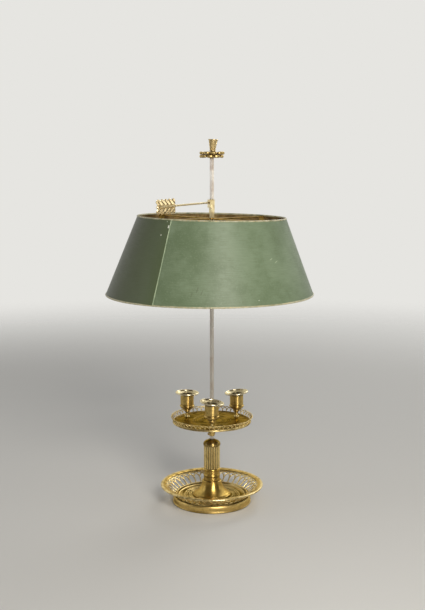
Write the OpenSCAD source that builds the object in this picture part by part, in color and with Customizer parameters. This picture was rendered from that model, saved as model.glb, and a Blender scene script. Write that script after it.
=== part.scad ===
// Bouillotte lamp. A turned brass foot with a pierced basket carries a fluted column and a
// square steel rod. A tray with three candle sockets and a painted sheet shade slide on the
// rod, each held by its own screw, and the shade's screw is worked by an arrow.
// All sizes are in millimetres. The origin is the centre of the foot on the table, +Z is up,
// and the front of the lamp faces -Y.

/* [Foot and dish] */
// Thickness of the foot ring's wall around the dish
foot_wall = 4.1; // [3.5:0.1:6]
// Height of the foot ring
foot_h = 12.5; // [10:0.5:16]
// Radius of the bead along the foot ring's lower edge
foot_bead_r = 1.5; // [1:0.1:1.8]
// Width of the ledge inside the foot ring that carries the dish
foot_ledge = 4.5; // [3:0.5:8]
// Thickness of the dish
dish_t = 2.5; // [2:0.1:3.5]
// Height of the sill round the dish
sill_h = 3; // [2:0.5:4]
// Number of turned rings in the dish
dish_rings = 4; // [2:1:5]
// Radius of the turned rings' half-round section
dish_ring_r = 0.8; // [0.5:0.1:1.2]

/* [Base gallery] */
// Inner radius of the pierced wall at its foot
gallery_foot_r = 63; // [60:0.5:68]
// How far the pierced wall flares outwards
gallery_flare = 20.5; // [14:0.5:26]
// Height of the pierced wall
gallery_h = 16.5; // [13:0.5:20]
// Thickness of the pierced wall
gallery_t = 2.2; // [1.8:0.1:3]
// Number of arches round the base
gallery_bays = 40; // [32:1:44]
// Width of the arches' ribs
gallery_rib = 2.4; // [1.6:0.1:2.8]
// Width of the flat lip on top of the pierced wall
lip_w = 9; // [7:0.5:13]
// Thickness of the lip
lip_t = 1.6; // [1.2:0.1:2.4]
// Radius of the rolled edge of the lip
lip_roll_r = 1.5; // [1:0.1:2]

/* [Pedestal and column] */
// Width of the step round the pedestal's bell
pedestal_step = 2.4; // [1.5:0.1:4]
// Height of the pedestal, plinth included
pedestal_h = 34.5; // [31:0.5:42]
// Radius of the pedestal's neck
neck_r = 17.8; // [17:0.2:20]
// Angle through which the pedestal's bell sweeps out
bell_deg = 62; // [50:1:70]
// Radius of the plinth on top of the pedestal
plinth_r = 14.6; // [14.4:0.2:16.4]
// Height of the plinth
plinth_h = 6.5; // [4:0.5:9]
// Height of the turned ring between plinth and column
ring_h = 16; // [13:0.5:20]
// Radius of the column over its fillets
column_r = 14.5; // [13:0.1:14.8]
// Height of the fluted part of the column
column_h = 41.5; // [30:0.5:70]
// Number of flutes
flutes = 20; // [14:1:22]
// Radius of one flute
flute_r = 1.75; // [1.2:0.05:1.8]
// Radius of the column's cap
cap_r = 15.4; // [15:0.1:18]
// Height of the cap
cap_h = 11.5; // [9:0.5:15]

/* [Rod] */
// Side of the square rod
rod_side = 5; // [4.4:0.1:5.6]
// Length of rod between the cap and the finial
rod_len = 502; // [470:1:560]
// Diameter of the rod's turned ends
tenon_d = 4.2; // [3.6:0.1:4.4]
// Depth of the square seat in the cap
seat_depth = 6; // [4:0.5:8]
// Play on each side of a piece that slides on the rod
rod_play = 0.1; // [0.05:0.01:0.2]
// Width across the flats of the nut under the dish
nut_af = 9; // [8:0.5:11]
// Height of the nut under the dish
nut_h = 4; // [3:0.5:5]
// Radius of the washer under the dish
washer_r = 11; // [8:0.5:16]

/* [Finial] */
// Radius over the leaf tips
leaf_tip_r = 22.5; // [17:0.5:24]
// Number of leaves in each of the two tiers
leaves = 9; // [7:1:10]
// Height of the rosette's hub
rosette_h = 11; // [9:0.5:14]
// Height of the flared handle
handle_h = 21; // [17:0.5:26]
// Diameter of the handle at its foot
handle_foot_d = 9.6; // [8.8:0.2:12]
// Diameter of the handle's rim
handle_rim_d = 17; // [14:0.5:20]
// Number of flutes round the handle
handle_flutes = 10; // [8:1:12]
// Sideways lean of the handle on its screw
handle_lean = 3.5; // [0:0.5:3.5]
// How far the handle is cast off its screw's centre
handle_shift = 1.2; // [0:0.1:1.6]

/* [Tray] */
// Gap between the column's cap and the tray's collar
tray_gap = 6.5; // [6:0.5:60]
// Height of the collar under the tray
collar_h = 26; // [24:0.5:34]
// Radius of the collar's lower end
collar_foot_r = 5.2; // [5:0.1:6]
// Radius of the collar under the tray
collar_top_r = 16; // [12:0.5:20]
// Radius of the tray inside its gallery
tray_r = 67.5; // [64:0.5:74]
// Thickness of the tray
tray_t = 2.6; // [2:0.1:3.5]
// Radius of the bead round the tray's edge
tray_bead_r = 1.5; // [1:0.1:1.8]
// Height of the tray's gallery
tray_gallery_h = 9; // [8:0.5:12]
// How far the tray's gallery flares outwards
tray_flare = 5.2; // [3:0.1:7]
// Thickness of the tray's gallery
tray_gallery_t = 1.2; // [0.8:0.1:1.6]
// Number of arches round the tray
tray_bays = 54; // [46:1:60]
// Width of the ribs of the tray's arches
tray_rib = 1.4; // [0.9:0.05:1.6]
// Diameter of the tray's set screw
set_screw_d = 3; // [2.4:0.1:3.2]
// Radius of the set screw's head
set_head_r = 2; // [1.7:0.1:2.4]

/* [Sockets] */
// Distance of the sockets from the rod
socket_ring_r = 52; // [46:0.5:53]
// Diameter of the candles
candle_d = 20; // [18:0.5:24]
// Thickness of the drip pans' metal
pan_t = 0.5; // [0.4:0.05:0.8]
// Play of a pan's sleeve in its nozzle
pan_play = 1; // [1:0.05:1.4]
// Wall of the nozzles
nozzle_wall = 0.6; // [0.5:0.05:1.2]
// Height of a nozzle over its rounded cup
nozzle_h = 21; // [16:0.5:30]
// Height of the stem under a cup
stem_h = 10; // [8:0.5:16]
// Radius of the stem
stem_r = 2.8; // [2.4:0.1:3.4]
// Radius of the drip pans
pan_r = 21.5; // [19:0.5:23]
// Height of a pan's rim over its seat
pan_h = 5; // [4:0.5:6]
// Length of a pan's sleeve
pan_sleeve = 6; // [4:0.5:6.5]
// Lean of the loose front pan
front_lean = 7; // [-8:0.5:8]
// Lean of the loose left pan
left_lean = 1.5; // [-8:0.5:8]
// Lean of the loose right pan
right_lean = -6; // [-8:0.5:8]

/* [Shade] */
// Radius of the shade at its top edge
shade_top_r = 130; // [115:1:145]
// Radius of the shade at its bottom edge
shade_bottom_r = 182.5; // [160:0.5:200]
// Height of the shade
shade_h = 134; // [110:1:155]
// Thickness of the sheet
shade_t = 0.9; // [0.7:0.1:1.4]
// Diameter of the wires in the edges
edge_wire_d = 3; // [2.4:0.1:4]
// Width of the lapped seam
seam_w = 9; // [6:0.5:14]
// Angle of the seam, to the left of the front
seam_angle = 32; // [10:1:40]
// Lean of the shade on its spider, left side up
shade_lean = 1.1; // [0:0.1:1.5]
// Height of the shade's top edge over the cap
shade_lift = 400; // [330:1:430]
// Width of the spider's arms
arm_w = 6; // [5:0.5:7]
// Thickness of the spider's arms
arm_t = 1.8; // [1.4:0.1:2.4]
// Height of the tabs that hold the shade
tab_h = 14; // [10:0.5:20]
// Radius of the rivets in the tabs
rivet_r = 1.6; // [1.2:0.1:2.2]

/* [Shade slide and arrow] */
// Wall of the square sleeve
sleeve_wall = 0.85; // [0.7:0.05:1.2]
// Height of the sleeve over the spider's shoulder
sleeve_h = 24.5; // [22:0.5:32]
// Height of the boss that takes the arrow's screw
boss_h = 14; // [10:0.5:16]
// How far the boss stands out of the sleeve
boss_out = 4; // [3:0.5:6]
// Depth of the arrow's screw under the sleeve's top
arrow_drop = 5.4; // [4:0.2:9]
// Diameter of the arrow's shaft
arrow_d = 3.2; // [2.8:0.1:3.8]
// Diameter of the arrow's screw
arrow_screw_d = 2.6; // [2:0.1:2.7]
// Reach of the arrow from the rod's axis
arrow_len = 131; // [115:1:150]
// Droop of the arrow's shaft, which is bent at its collar
arrow_bend = 2.2; // [0:0.2:4]
// Length of the feathers
feather_len = 44; // [36:1:52]
// Height of a feather over the arrow's axis
feather_h = 12.8; // [11:0.2:16]
// Number of barbs along each feather
barbs = 5; // [4:1:7]
// Thickness of the feathers
feather_t = 2; // [1.6:0.1:3]
// Radius of the quill that the feathers grow from
quill_r = 3; // [2.5:0.1:3.5]

/* [Hidden] */
$fn = 96;
thread_fit = 0.05;     // radial clearance of a screw or a tenon in its hole
seat_fit = 0.05;       // clearance of the fixed square seats
bore_fit = 0.5;        // clearance of the column's core round the rod's turned end
through = 1;           // how far a cutter runs past a face
overlap = 0.4;         // how deep joined shapes of one piece run into each other
arch_rise = 1.12;      // height of the base's arches over half their span
key_turn = -135;       // direction of both screws, square to a face of the rod
sockets_at = [-90, 150, 30];
pan_leans = [front_lean, left_lean, right_lean];

brass = "#c9a24e";
gilt = "#e0c078";
bronze = "#a88238";
steel = "#c8c8c6";
green = "#8c9a7c";

// Foot, dish and base gallery
gallery_slope = atan2(gallery_h, gallery_flare);
gallery_run = gallery_t / sin(gallery_slope);
sill_out_r = gallery_foot_r + gallery_run;
sill_in_r = gallery_foot_r - 1.2;
dish_r = sill_out_r + 0.2;
dish_sunk = 0.5;
dish_z = foot_h - dish_sunk;
rebate_z = dish_z - dish_t;
rebate_r = dish_r + seat_fit;
foot_r = dish_r + foot_wall;
gallery_z = dish_z + sill_h;
lip_z = gallery_z + gallery_h;
lip_in_r = gallery_foot_r + gallery_flare;

// Column and rod
pedestal_top_z = dish_z + pedestal_h;
plinth_z = pedestal_top_z - plinth_h;
bell_z = dish_z + 5;
bell_r = (plinth_z - bell_z) / sin(bell_deg);
bell_end_r = neck_r + bell_r * (1 - cos(bell_deg));
pedestal_r = bell_end_r + pedestal_step;
column_z = pedestal_top_z + ring_h;
cap_z = column_z + column_h;
rod_z = cap_z + cap_h;
rod_top_z = rod_z + rod_len;
tenon_r = tenon_d / 2;
core_r = tenon_r + bore_fit;
washer_h = 1.5;
tenon_end_z = rebate_z - washer_h - nut_h - 1;
slide_side = rod_side + 2 * rod_play;

// Finial
hub_r = 8.5;
leaf_root_r = 4.5;
leaf_t = 3.4;
leaf_roll_r = 3.1;
finial_bore_depth = 11;
handle_z = rod_top_z + rosette_h;

// Tray
tray_collar_z = rod_z + tray_gap;
tray_floor_z = tray_collar_z + collar_h + tray_t;
tray_edge_r = tray_r + tray_bead_r;
tray_slope = atan2(tray_gallery_h, tray_flare);
tray_run = tray_gallery_t / sin(tray_slope);
set_screw_z = tray_collar_z + set_head_r + 2.6;

// Sockets
sleeve_in_r = candle_d / 2;
sleeve_out_r = sleeve_in_r + pan_t;
nozzle_in_r = sleeve_out_r + pan_play;
nozzle_r = nozzle_in_r + nozzle_wall;
cup_h = 9.5;
cup_z = tray_floor_z + stem_h;
nozzle_z = cup_z + cup_h;
mouth_z = nozzle_z + nozzle_h;
stem_screw_r = 1.5;
stem_foot_r = 5;
stem_nut_h = 1.6 * stem_screw_r;
stem_nut_af = 4.4 * stem_screw_r;
stem_tail = tray_t + stem_nut_h + 0.9;

// Shade and its slide
shade_top_z = rod_z + shade_lift;
shade_slope = (shade_bottom_r - shade_top_r) / shade_h;
shade_bottom_z = shade_top_z - shade_h;
wire_r = edge_wire_d / 2;
spider_top_z = shade_top_z - wire_r - 0.3;
sleeve_side = slide_side + 2 * sleeve_wall;
neck_side = sleeve_side - 0.8;
neck_drop = 2;
rivet_seat = -shade_t - arm_t - 0.05;
rivet_skin = 0.3;
sleeve_z = shade_top_z + 6;
sleeve_top_z = sleeve_z + sleeve_h;
boss_face = sleeve_side / 2 + boss_out;
boss_w = sleeve_side - 0.6;
arrow_z = sleeve_top_z - arrow_drop;
arrow_screw_r = arrow_screw_d / 2;
arrow_screw_len = boss_face + 3;
quill_start = arrow_len - feather_len;
barb_pitch = (feather_len - 2) / barbs;
barb_lean = 42;

// ---- outlines -----------------------------------------------------------------------------

// Points of an arc about c, from angle a to angle b, in n straight steps
function arc(c, r, a, b, n) =
    [for (i = [0 : n]) let (t = a + (b - a) * i / n) [c[0] + r * cos(t), c[1] + r * sin(t)]];

function stretch(points, k) = [for (p = points) [p[0] * k, p[1]]];

// Outer radius of the shade's sheet at height z
function shade_r(z) = shade_top_r + (shade_top_z - z) * shade_slope;

// A turned body from an outline of [radius, height] points
module turned(points) {
    rotate_extrude() polygon(points);
}

module ring_bead(r, z, bead_r) {
    rotate_extrude() translate([r, z]) circle(bead_r);
}

module bore(r, z_low, z_high) {
    translate([0, 0, z_low]) cylinder(r = r, h = z_high - z_low);
}

// An upright square bar on the rod's axis, one corner to the front
module square_bar(side, z_low, z_high) {
    rotate(45) translate([-side / 2, -side / 2, z_low]) cube([side, side, z_high - z_low]);
}

// Lays a shape drawn along +X on the line that both screws follow, at height z
module along_key(z) {
    translate([0, 0, z]) rotate(key_turn) rotate([0, 90, 0]) children();
}

// ---- pierced galleries --------------------------------------------------------------------

// A flared wall, pierced so that round arches of two bays' span stay standing and cross each
// other. Each bay has a lancet between its legs, a shield where two arches cross and a gap
// between the arches' tops, which is open upwards where the wall is scalloped. The cuts are
// drawn on the unrolled wall, with x up the slope and y round the ring.
module pierced_gallery(foot_r, flare, height, run, bays, rib, rise, rail, scalloped, steps) {
    slope = atan2(height, flare);
    slant = height / sin(slope);
    bay = 360 / bays * cos(slope);
    reach = foot_r / cos(slope);
    chord = 2 * sin(bay / 2);
    span = chord * (reach + slant - rail - rise * rib / 2) / (1 + chord * rise);
    spring = span / chord - reach;
    in_r = span - rib / 2;
    out_r = span + rib / 2;
    apex_dist = reach + spring;
    half = [apex_dist * (cos(bay / 2) - 1), apex_dist * sin(bay / 2)];
    next = [apex_dist * (cos(bay) - 1), apex_dist * sin(bay)];

    leg_h = spring - max(rail, 1);
    leg_half = span / 2 * (apex_dist - leg_h) / apex_dist - rib / 2;
    lancet_arc = arc(half, in_r, -90, -asin(half[1] / in_r), steps);
    lancet = concat([[-leg_h, -leg_half]], stretch(lancet_arc, rise),
                    [for (i = [steps - 1 : -1 : 0])
                        [lancet_arc[i][0] * rise, -lancet_arc[i][1]]],
                    [[-leg_h, leg_half]]);

    along = (in_r * in_r - out_r * out_r + span * span) / (2 * span);
    across = sqrt(in_r * in_r - along * along);
    corner = along * next / span + across * [next[1], -next[0]] / span;
    shield_foot = next[0] + sqrt(out_r * out_r - next[1] * next[1]);
    side_from = atan2(-next[1], shield_foot - next[0]);
    side_to = atan2(corner[1] - next[1], corner[0] - next[0]);
    crown = atan2(corner[1], corner[0]);
    right_side = arc(next, out_r, side_from, side_to, steps);
    top_side = arc([0, 0], in_r, crown, -crown, steps);
    shield = concat(stretch(right_side, rise),
                    [for (i = [1 : steps]) [top_side[i][0] * rise, top_side[i][1]]],
                    [for (i = [steps - 1 : -1 : 1])
                        [right_side[i][0] * rise, -right_side[i][1]]]);

    gap_from = -asin(half[1] / out_r);
    gap_to = scalloped ? -8 : -12;
    gap_side = arc(half, out_r, gap_from, gap_to, steps);
    gap_end = gap_side[steps];
    gap_top = scalloped ? [[gap_end[0] * rise + 3, gap_end[1]],
                           [gap_end[0] * rise + 3, -gap_end[1]]] : [];
    gap = concat([for (p = gap_side) [p[0] * rise, p[1]]], gap_top,
                 [for (i = [steps : -1 : 1])
                     [gap_side[i][0] * rise, -gap_side[i][1]]]);

    difference() {
        rotate_extrude() polygon([[foot_r, 0], [foot_r + run, 0],
                                  [foot_r + flare + run, height], [foot_r + flare, height]]);
        for (i = [0 : bays - 1]) {
            rotate(i * 360 / bays) in_wall(foot_r, slope, spring, run) polygon(shield);
            rotate((i + 0.5) * 360 / bays) in_wall(foot_r, slope, spring, run) {
                polygon(lancet);
                polygon(gap);
            }
        }
    }
}

// A cutter through a flared wall, square to it, its outline set out from the springing line
module in_wall(foot_r, slope, spring, run) {
    translate([foot_r, 0, 0]) rotate([0, -slope, 0]) translate([spring, 0, -run - through])
        linear_extrude(height = run + 2 * through) children();
}

// ---- foot and base ------------------------------------------------------------------------

module foot_ring() {
    ledge_r = rebate_r - foot_ledge;
    shoulder = foot_r - 0.9;
    color(brass) rotate_extrude() difference() {
        union() {
            polygon([[ledge_r, 0], [foot_r - foot_bead_r, 0], [foot_r - foot_bead_r, 2],
                     [shoulder - 0.7, foot_h * 0.4], [shoulder, foot_h * 0.62],
                     [shoulder, foot_h * 0.85], [shoulder - 1, foot_h], [ledge_r, foot_h]]);
            translate([foot_r - foot_bead_r, foot_bead_r]) circle(foot_bead_r);
        }
        translate([ledge_r - through, rebate_z])
            square([rebate_r - ledge_r + through, foot_h - rebate_z + through]);
    }
}

module base_dish() {
    ring_from = pedestal_r + 4;
    ring_step = (sill_in_r - ring_from - 8) / dish_rings;
    color(brass) difference() {
        union() {
            turned([[0, rebate_z], [dish_r, rebate_z], [dish_r, dish_z],
                    [sill_out_r, gallery_z], [sill_in_r, gallery_z],
                    [sill_in_r - 1, dish_z + 0.6], [sill_in_r - 2.5, dish_z], [0, dish_z]]);
            for (i = [0 : dish_rings - 1])
                ring_bead(ring_from + i * ring_step, dish_z, dish_ring_r);
        }
        bore(core_r, rebate_z - through, dish_z + through);
    }
}

module base_gallery() {
    color(gilt) translate([0, 0, gallery_z])
        pierced_gallery(gallery_foot_r, gallery_flare, gallery_h, gallery_run,
                        gallery_bays, gallery_rib, arch_rise, 1.2, false, 3);
}

module base_lip() {
    out_r = lip_in_r + lip_w;
    roll = [out_r - lip_roll_r, lip_z + lip_t - lip_roll_r + 0.6];
    color(gilt) rotate_extrude() union() {
        polygon([[lip_in_r - 0.6, lip_z], [lip_in_r + gallery_run, lip_z],
                 [roll[0], roll[1] - lip_roll_r / 2], [roll[0], roll[1] + lip_roll_r],
                 [lip_in_r + 1, lip_z + lip_t], [lip_in_r - 0.6, lip_z + lip_t - 0.6]]);
        translate(roll) circle(lip_roll_r);
    }
}

module base_washer() {
    color(steel) difference() {
        bore(washer_r, rebate_z - washer_h, rebate_z);
        bore(tenon_r + thread_fit, rebate_z - washer_h - through, rebate_z + through);
    }
}

module base_nut() {
    top = rebate_z - washer_h;
    color(steel) difference() {
        translate([0, 0, top - nut_h]) cylinder(d = nut_af / cos(30), h = nut_h, $fn = 6);
        bore(tenon_r + thread_fit, top - nut_h - through, top + through);
    }
}

// ---- pedestal, column and rod -------------------------------------------------------------

module pedestal() {
    foot_bead_r = 1.6;
    foot = arc([pedestal_r - foot_bead_r, bell_z - 1.6 - foot_bead_r], foot_bead_r, 0, 90, 4);
    bell = arc([neck_r + bell_r, plinth_z], bell_r, 180, 180 + bell_deg, 8);
    color(brass)
        turned(concat([[core_r, dish_z], [pedestal_r, dish_z]], foot,
                      [[bell_end_r + 0.8, bell_z - 1.6], [bell_end_r + 0.8, bell_z - 0.6]],
                      [for (i = [8 : -1 : 1]) bell[i]],
                      [[neck_r, plinth_z - 0.9], [neck_r - 0.9, plinth_z],
                       [plinth_r, plinth_z], [plinth_r, pedestal_top_z],
                       [core_r, pedestal_top_z]]));
}

module column_ring() {
    bead_h = ring_h * 0.38;
    torus_r = ring_h * 0.14;
    groove_r = column_r - 0.6;
    top = column_z;
    color(brass) union() {
        turned([[core_r, pedestal_top_z], [plinth_r - 0.6, pedestal_top_z],
                [plinth_r - 0.6, pedestal_top_z + bead_h], [groove_r, pedestal_top_z + bead_h + 1],
                [groove_r, top], [core_r, top]]);
        ring_bead(plinth_r - bead_h / 2 + 0.3, pedestal_top_z + bead_h / 2, bead_h / 2);
        ring_bead(column_r - torus_r + 0.8, top - torus_r, torus_r);
    }
}

module column_shaft() {
    color(gilt) difference() {
        bore(column_r, column_z, cap_z);
        bore(core_r, column_z - through, cap_z + through);
        for (i = [0 : flutes - 1])
            rotate((i + 0.5) * 360 / flutes) translate([column_r + 0.3, 0, column_z - through])
                cylinder(r = flute_r, h = column_h + 2 * through, $fn = 32);
    }
}

module column_cap() {
    rim_h = cap_h * 0.36;
    dome = arc([0, 0], 1, 8, 62, 5);
    dome_h = cap_h - rim_h;
    color(brass) difference() {
        turned(concat([[core_r, cap_z], [column_r - 0.4, cap_z], [cap_r, cap_z + 1.2],
                       [cap_r, cap_z + rim_h]],
                      [for (p = dome) [cap_r * p[0] - 0.4, cap_z + rim_h + dome_h * p[1]]],
                      [[6, rod_z], [core_r, rod_z]]));
        square_bar(rod_side + 2 * seat_fit, rod_z - seat_depth, rod_z + through);
    }
}

module centre_rod() {
    color(steel) union() {
        square_bar(rod_side, rod_z - seat_depth, rod_top_z);
        bore(tenon_r, tenon_end_z, rod_z - seat_depth + overlap);
        bore(tenon_r, rod_top_z - overlap, handle_z + finial_bore_depth - 1);
    }
}

// ---- finial -------------------------------------------------------------------------------

// Outline of a ring of leaves, seen from above
function leaf_ring(tip_r) =
    let (half = 180 / leaves, root = [hub_r - 1, -half], waist = [0.62, 0.7],
         shoulder = [0.86, 0.66], tip = [1.03, 0.3])
    [for (i = [0 : leaves - 1])
        for (p = concat([root], [for (k = [waist, shoulder, tip]) [k[0] * tip_r, -k[1] * half]],
                        [for (k = [tip, shoulder, waist]) [k[0] * tip_r, k[1] * half]]))
            let (a = 2 * half * i + p[1]) [p[0] * cos(a), p[0] * sin(a)]];

// A tier of leaves round the hub: a thick plate with a fat rolled edge, cut to the leaf ring
module leaf_tier(turn, tip_r, tip_angle) {
    edge_r = tip_r - leaf_roll_r;
    rise = (edge_r - leaf_root_r) * tan(tip_angle);
    intersection() {
        rotate_extrude() union() {
            polygon([[leaf_root_r, -overlap], [edge_r, -overlap], [edge_r, rise + leaf_t],
                     [leaf_root_r, leaf_t]]);
            translate([edge_r, rise + leaf_t / 2]) circle(leaf_roll_r);
        }
        rotate(turn) translate([0, 0, -leaf_roll_r])
            linear_extrude(height = rosette_h + 2 * leaf_roll_r) polygon(leaf_ring(tip_r));
    }
}

module finial_rosette() {
    mid = rosette_h / 2;
    color(gilt) translate([0, 0, rod_top_z]) difference() {
        union() {
            turned([[0, 0], [hub_r - 2, 0], [hub_r, 2], [hub_r, rosette_h - 2],
                    [hub_r - 2.5, rosette_h], [0, rosette_h]]);
            translate([0, 0, mid]) leaf_tier(0, leaf_tip_r, 3);
            translate([0, 0, mid]) mirror([0, 0, 1])
                leaf_tier(180 / leaves, leaf_tip_r - 0.8, 3);
        }
        bore(tenon_r + thread_fit, -through, rosette_h + through);
    }
}

module finial_handle() {
    foot_r = handle_foot_d / 2;
    rim_r = handle_rim_d / 2;
    rim_h = 2;
    body_top = handle_h - rim_h;
    taper = atan2(rim_r - 0.8 - foot_r, body_top - 2);
    color(gilt) translate([handle_shift, 0, handle_z]) rotate([0, handle_lean, 0]) difference() {
        turned([[0, 0.3], [foot_r - 0.6, 0.3], [foot_r + 0.7, 1], [foot_r + 0.7, 1.8],
                [foot_r, 2.4], [rim_r - 0.8, body_top], [rim_r, body_top + 0.6],
                [rim_r, handle_h - 0.6], [rim_r - 0.6, handle_h], [rim_r - 2, handle_h],
                [0, handle_h - 1.5]]);
        for (i = [0 : handle_flutes - 1])
            rotate(i * 360 / handle_flutes) translate([foot_r + 0.35, 0, 2.6])
                rotate([0, taper, 0]) cylinder(r = 0.85, h = body_top - 3.4, $fn = 24);
        rotate([0, -handle_lean, 0]) translate([-handle_shift, 0, 0])
            bore(tenon_r + thread_fit, -through, finial_bore_depth);
    }
}

// ---- tray ---------------------------------------------------------------------------------

module tray_plate() {
    under_z = tray_floor_z - tray_t;
    color(brass) difference() {
        union() {
            bore(tray_edge_r, under_z + 0.3, tray_floor_z);
            bore(collar_top_r + 2, under_z, tray_floor_z);
            ring_bead(tray_edge_r, tray_floor_z - tray_bead_r, tray_bead_r);
            for (r = [0.3, 0.5, 0.96])
                ring_bead(tray_r * r, tray_floor_z, dish_ring_r * 0.8);
        }
        square_bar(slide_side, under_z - through, tray_floor_z + through);
        for (a = sockets_at)
            rotate(a) translate([socket_ring_r, 0, 0])
                bore(stem_screw_r + thread_fit, under_z - through, tray_floor_z + through);
    }
}

module tray_gallery() {
    color(gilt) translate([0, 0, tray_floor_z])
        pierced_gallery(tray_r, tray_flare, tray_gallery_h, tray_run,
                        tray_bays, tray_rib, 1, 0, true, 2);
}

module tray_collar() {
    waist_r = collar_foot_r + 1.1;
    waist_z = set_screw_z + set_head_r + 0.4;
    top = tray_floor_z - tray_t;
    trumpet_r = collar_top_r - waist_r - 3;
    trumpet = arc([waist_r + 3 + trumpet_r, waist_z + 1], trumpet_r, 180, 100, 6);
    lift = (top - 1.5 - waist_z - 1) / trumpet_r;
    color(brass) difference() {
        turned(concat([[0, tray_collar_z], [collar_foot_r - 0.5, tray_collar_z],
                       [collar_foot_r, tray_collar_z + 0.5], [waist_r, waist_z]],
                      [for (p = trumpet) [p[0], waist_z + 1 + (p[1] - waist_z - 1) * lift]],
                      [[collar_top_r, top - 1.5], [collar_top_r, top], [0, top]]));
        square_bar(slide_side, tray_collar_z - through, top + through);
        along_key(set_screw_z) cylinder(d = set_screw_d + 2 * thread_fit, h = collar_top_r);
    }
}

module tray_screw_shank() {
    color(steel) along_key(set_screw_z) translate([0, 0, rod_side / 2])
        cylinder(d = set_screw_d, h = set_head_z() - rod_side / 2);
}

// Distance of the set screw's head from the rod's axis
function set_head_z() = collar_foot_r + 2.2;

module tray_screw_head() {
    head_h = 2.4;
    slot_w = 0.6;
    color(brass) along_key(set_screw_z) translate([0, 0, set_head_z()]) difference() {
        union() {
            cylinder(r = set_head_r, h = head_h * 0.6);
            intersection() {
                cylinder(r = set_head_r, h = head_h);
                translate([0, 0, head_h - set_head_r * 1.6]) sphere(r = set_head_r * 1.6);
            }
        }
        translate([-set_head_r - through, -slot_w / 2, head_h - 0.8])
            cube([2 * (set_head_r + through), slot_w, 0.8 + through]);
    }
}

// ---- sockets ------------------------------------------------------------------------------

// Sets a shape on the tray at socket i, turned so that its +X is still the lamp's
module at_socket(i) {
    a = sockets_at[i];
    translate([socket_ring_r * cos(a), socket_ring_r * sin(a), 0]) children();
}

// Turned stem with a screwed tail through the tray and a tenon up into its cup
module socket_stem(i) {
    color(brass) at_socket(i) union() {
        turned([[0, tray_floor_z], [stem_foot_r, tray_floor_z],
                [stem_foot_r, tray_floor_z + 0.8], [stem_r + 0.8, tray_floor_z + 2],
                [stem_r, tray_floor_z + 3.2], [stem_r, cup_z - 2.6],
                [stem_r + 0.9, cup_z - 1.4], [stem_r + 1.6, cup_z], [0, cup_z]]);
        bore(stem_screw_r, tray_floor_z - stem_tail, tray_floor_z + overlap);
        bore(stem_screw_r, cup_z - overlap, cup_z + 3);
    }
}

// Turned cup with its straight nozzle, hollow down to the candle's floor
module socket_cup(i) {
    knob_r = 6.8;
    floor_t = 1.6;
    bowl_r = 4.2;
    bowl = arc([nozzle_r - bowl_r, nozzle_z], bowl_r, 0, -72, 5);
    color(brass) at_socket(i) difference() {
        union() {
            turned(concat([[0, cup_z], [knob_r - 2.4, cup_z], [knob_r, cup_z + 2],
                           [knob_r, cup_z + 3.6], [knob_r - 0.6, cup_z + 4.6]],
                          [for (j = [5 : -1 : 0]) bowl[j]],
                          [[nozzle_r, nozzle_z + 2.6], [nozzle_r - 0.5, nozzle_z + 3.2],
                           [nozzle_r - 0.5, nozzle_z + 3.8], [nozzle_r, nozzle_z + 4.4],
                           [nozzle_r, mouth_z], [0, mouth_z]]));
            ring_bead(nozzle_r, nozzle_z + 1.2, 1.4);
        }
        bore(nozzle_in_r, nozzle_z + 1, mouth_z + through);
        bore(nozzle_in_r - 2.5, nozzle_z - floor_t, nozzle_z + 1 + through);
        bore(stem_screw_r + thread_fit, cup_z - through, cup_z + 3.2);
    }
}

module socket_nuts() {
    under_z = tray_floor_z - tray_t + 0.3;
    color(brass) for (i = [0 : len(sockets_at) - 1]) at_socket(i) difference() {
        translate([0, 0, under_z - stem_nut_h])
            cylinder(d = stem_nut_af / cos(30), h = stem_nut_h, $fn = 6);
        bore(stem_screw_r + thread_fit, under_z - stem_nut_h - through, under_z + through);
    }
}

// Loose drip pan: a flared dish with a rolled rim and a short sleeve. It leans about its
// nozzle's mouth and is lifted by as much as its low side would sink.
module drip_pan(i) {
    lean = pan_leans[i];
    seat_r = nozzle_r + 0.3;
    roll_r = 1.5;
    lift = seat_r * sin(abs(lean)) + 0.05;
    sheet = pan_t * 2;
    color(gilt) at_socket(i) translate([0, 0, mouth_z + lift]) rotate([0, lean, 0]) union() {
        turned([[sleeve_in_r, -pan_sleeve], [sleeve_out_r, -pan_sleeve], [sleeve_out_r, 0],
                [seat_r, 0], [pan_r * 0.83, pan_h * 0.3], [pan_r - roll_r, pan_h - roll_r],
                [pan_r - roll_r, pan_h - roll_r + sheet], [pan_r * 0.8, pan_h * 0.3 + sheet],
                [seat_r - 0.8, sheet], [sleeve_in_r, sheet]]);
        ring_bead(pan_r - roll_r, pan_h - roll_r, roll_r);
    }
}

module stem_front() { socket_stem(0); }
module stem_left() { socket_stem(1); }
module stem_right() { socket_stem(2); }
module socket_front() { socket_cup(0); }
module socket_left() { socket_cup(1); }
module socket_right() { socket_cup(2); }
module pan_front() { drip_pan(0); }
module pan_left() { drip_pan(1); }
module pan_right() { drip_pan(2); }

// ---- shade --------------------------------------------------------------------------------

// Section of the shade's sheet between two heights, moved out from its place by a step
module sheet_section(z_low, z_high, out, thick) {
    polygon([[shade_r(z_low) + out - thick, z_low], [shade_r(z_low) + out, z_low],
             [shade_r(z_high) + out, z_high], [shade_r(z_high) + out - thick, z_high]]);
}

module shade_wire_section(z) {
    translate([shade_r(z) - shade_t / 2, z]) circle(wire_r);
}

// Leans the sheet and its spider about the spider's middle. The bottom edge stays level.
module leaning() {
    translate([0, 0, spider_top_z]) rotate([0, shade_lean, 0])
        translate([0, 0, -spider_top_z]) children();
}

// Where the leaning sheet meets its level bottom edge, to the right (side 1) or left (side -1)
function level_x(side) =
    let (drop = spider_top_z - shade_bottom_z,
         r_here = shade_r(spider_top_z) - shade_t / 2,
         down = (drop - side * r_here * sin(shade_lean))
                / (cos(shade_lean) + side * shade_slope * sin(shade_lean)))
    side * (r_here + down * shade_slope) * cos(shade_lean) - down * sin(shade_lean);

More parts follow.
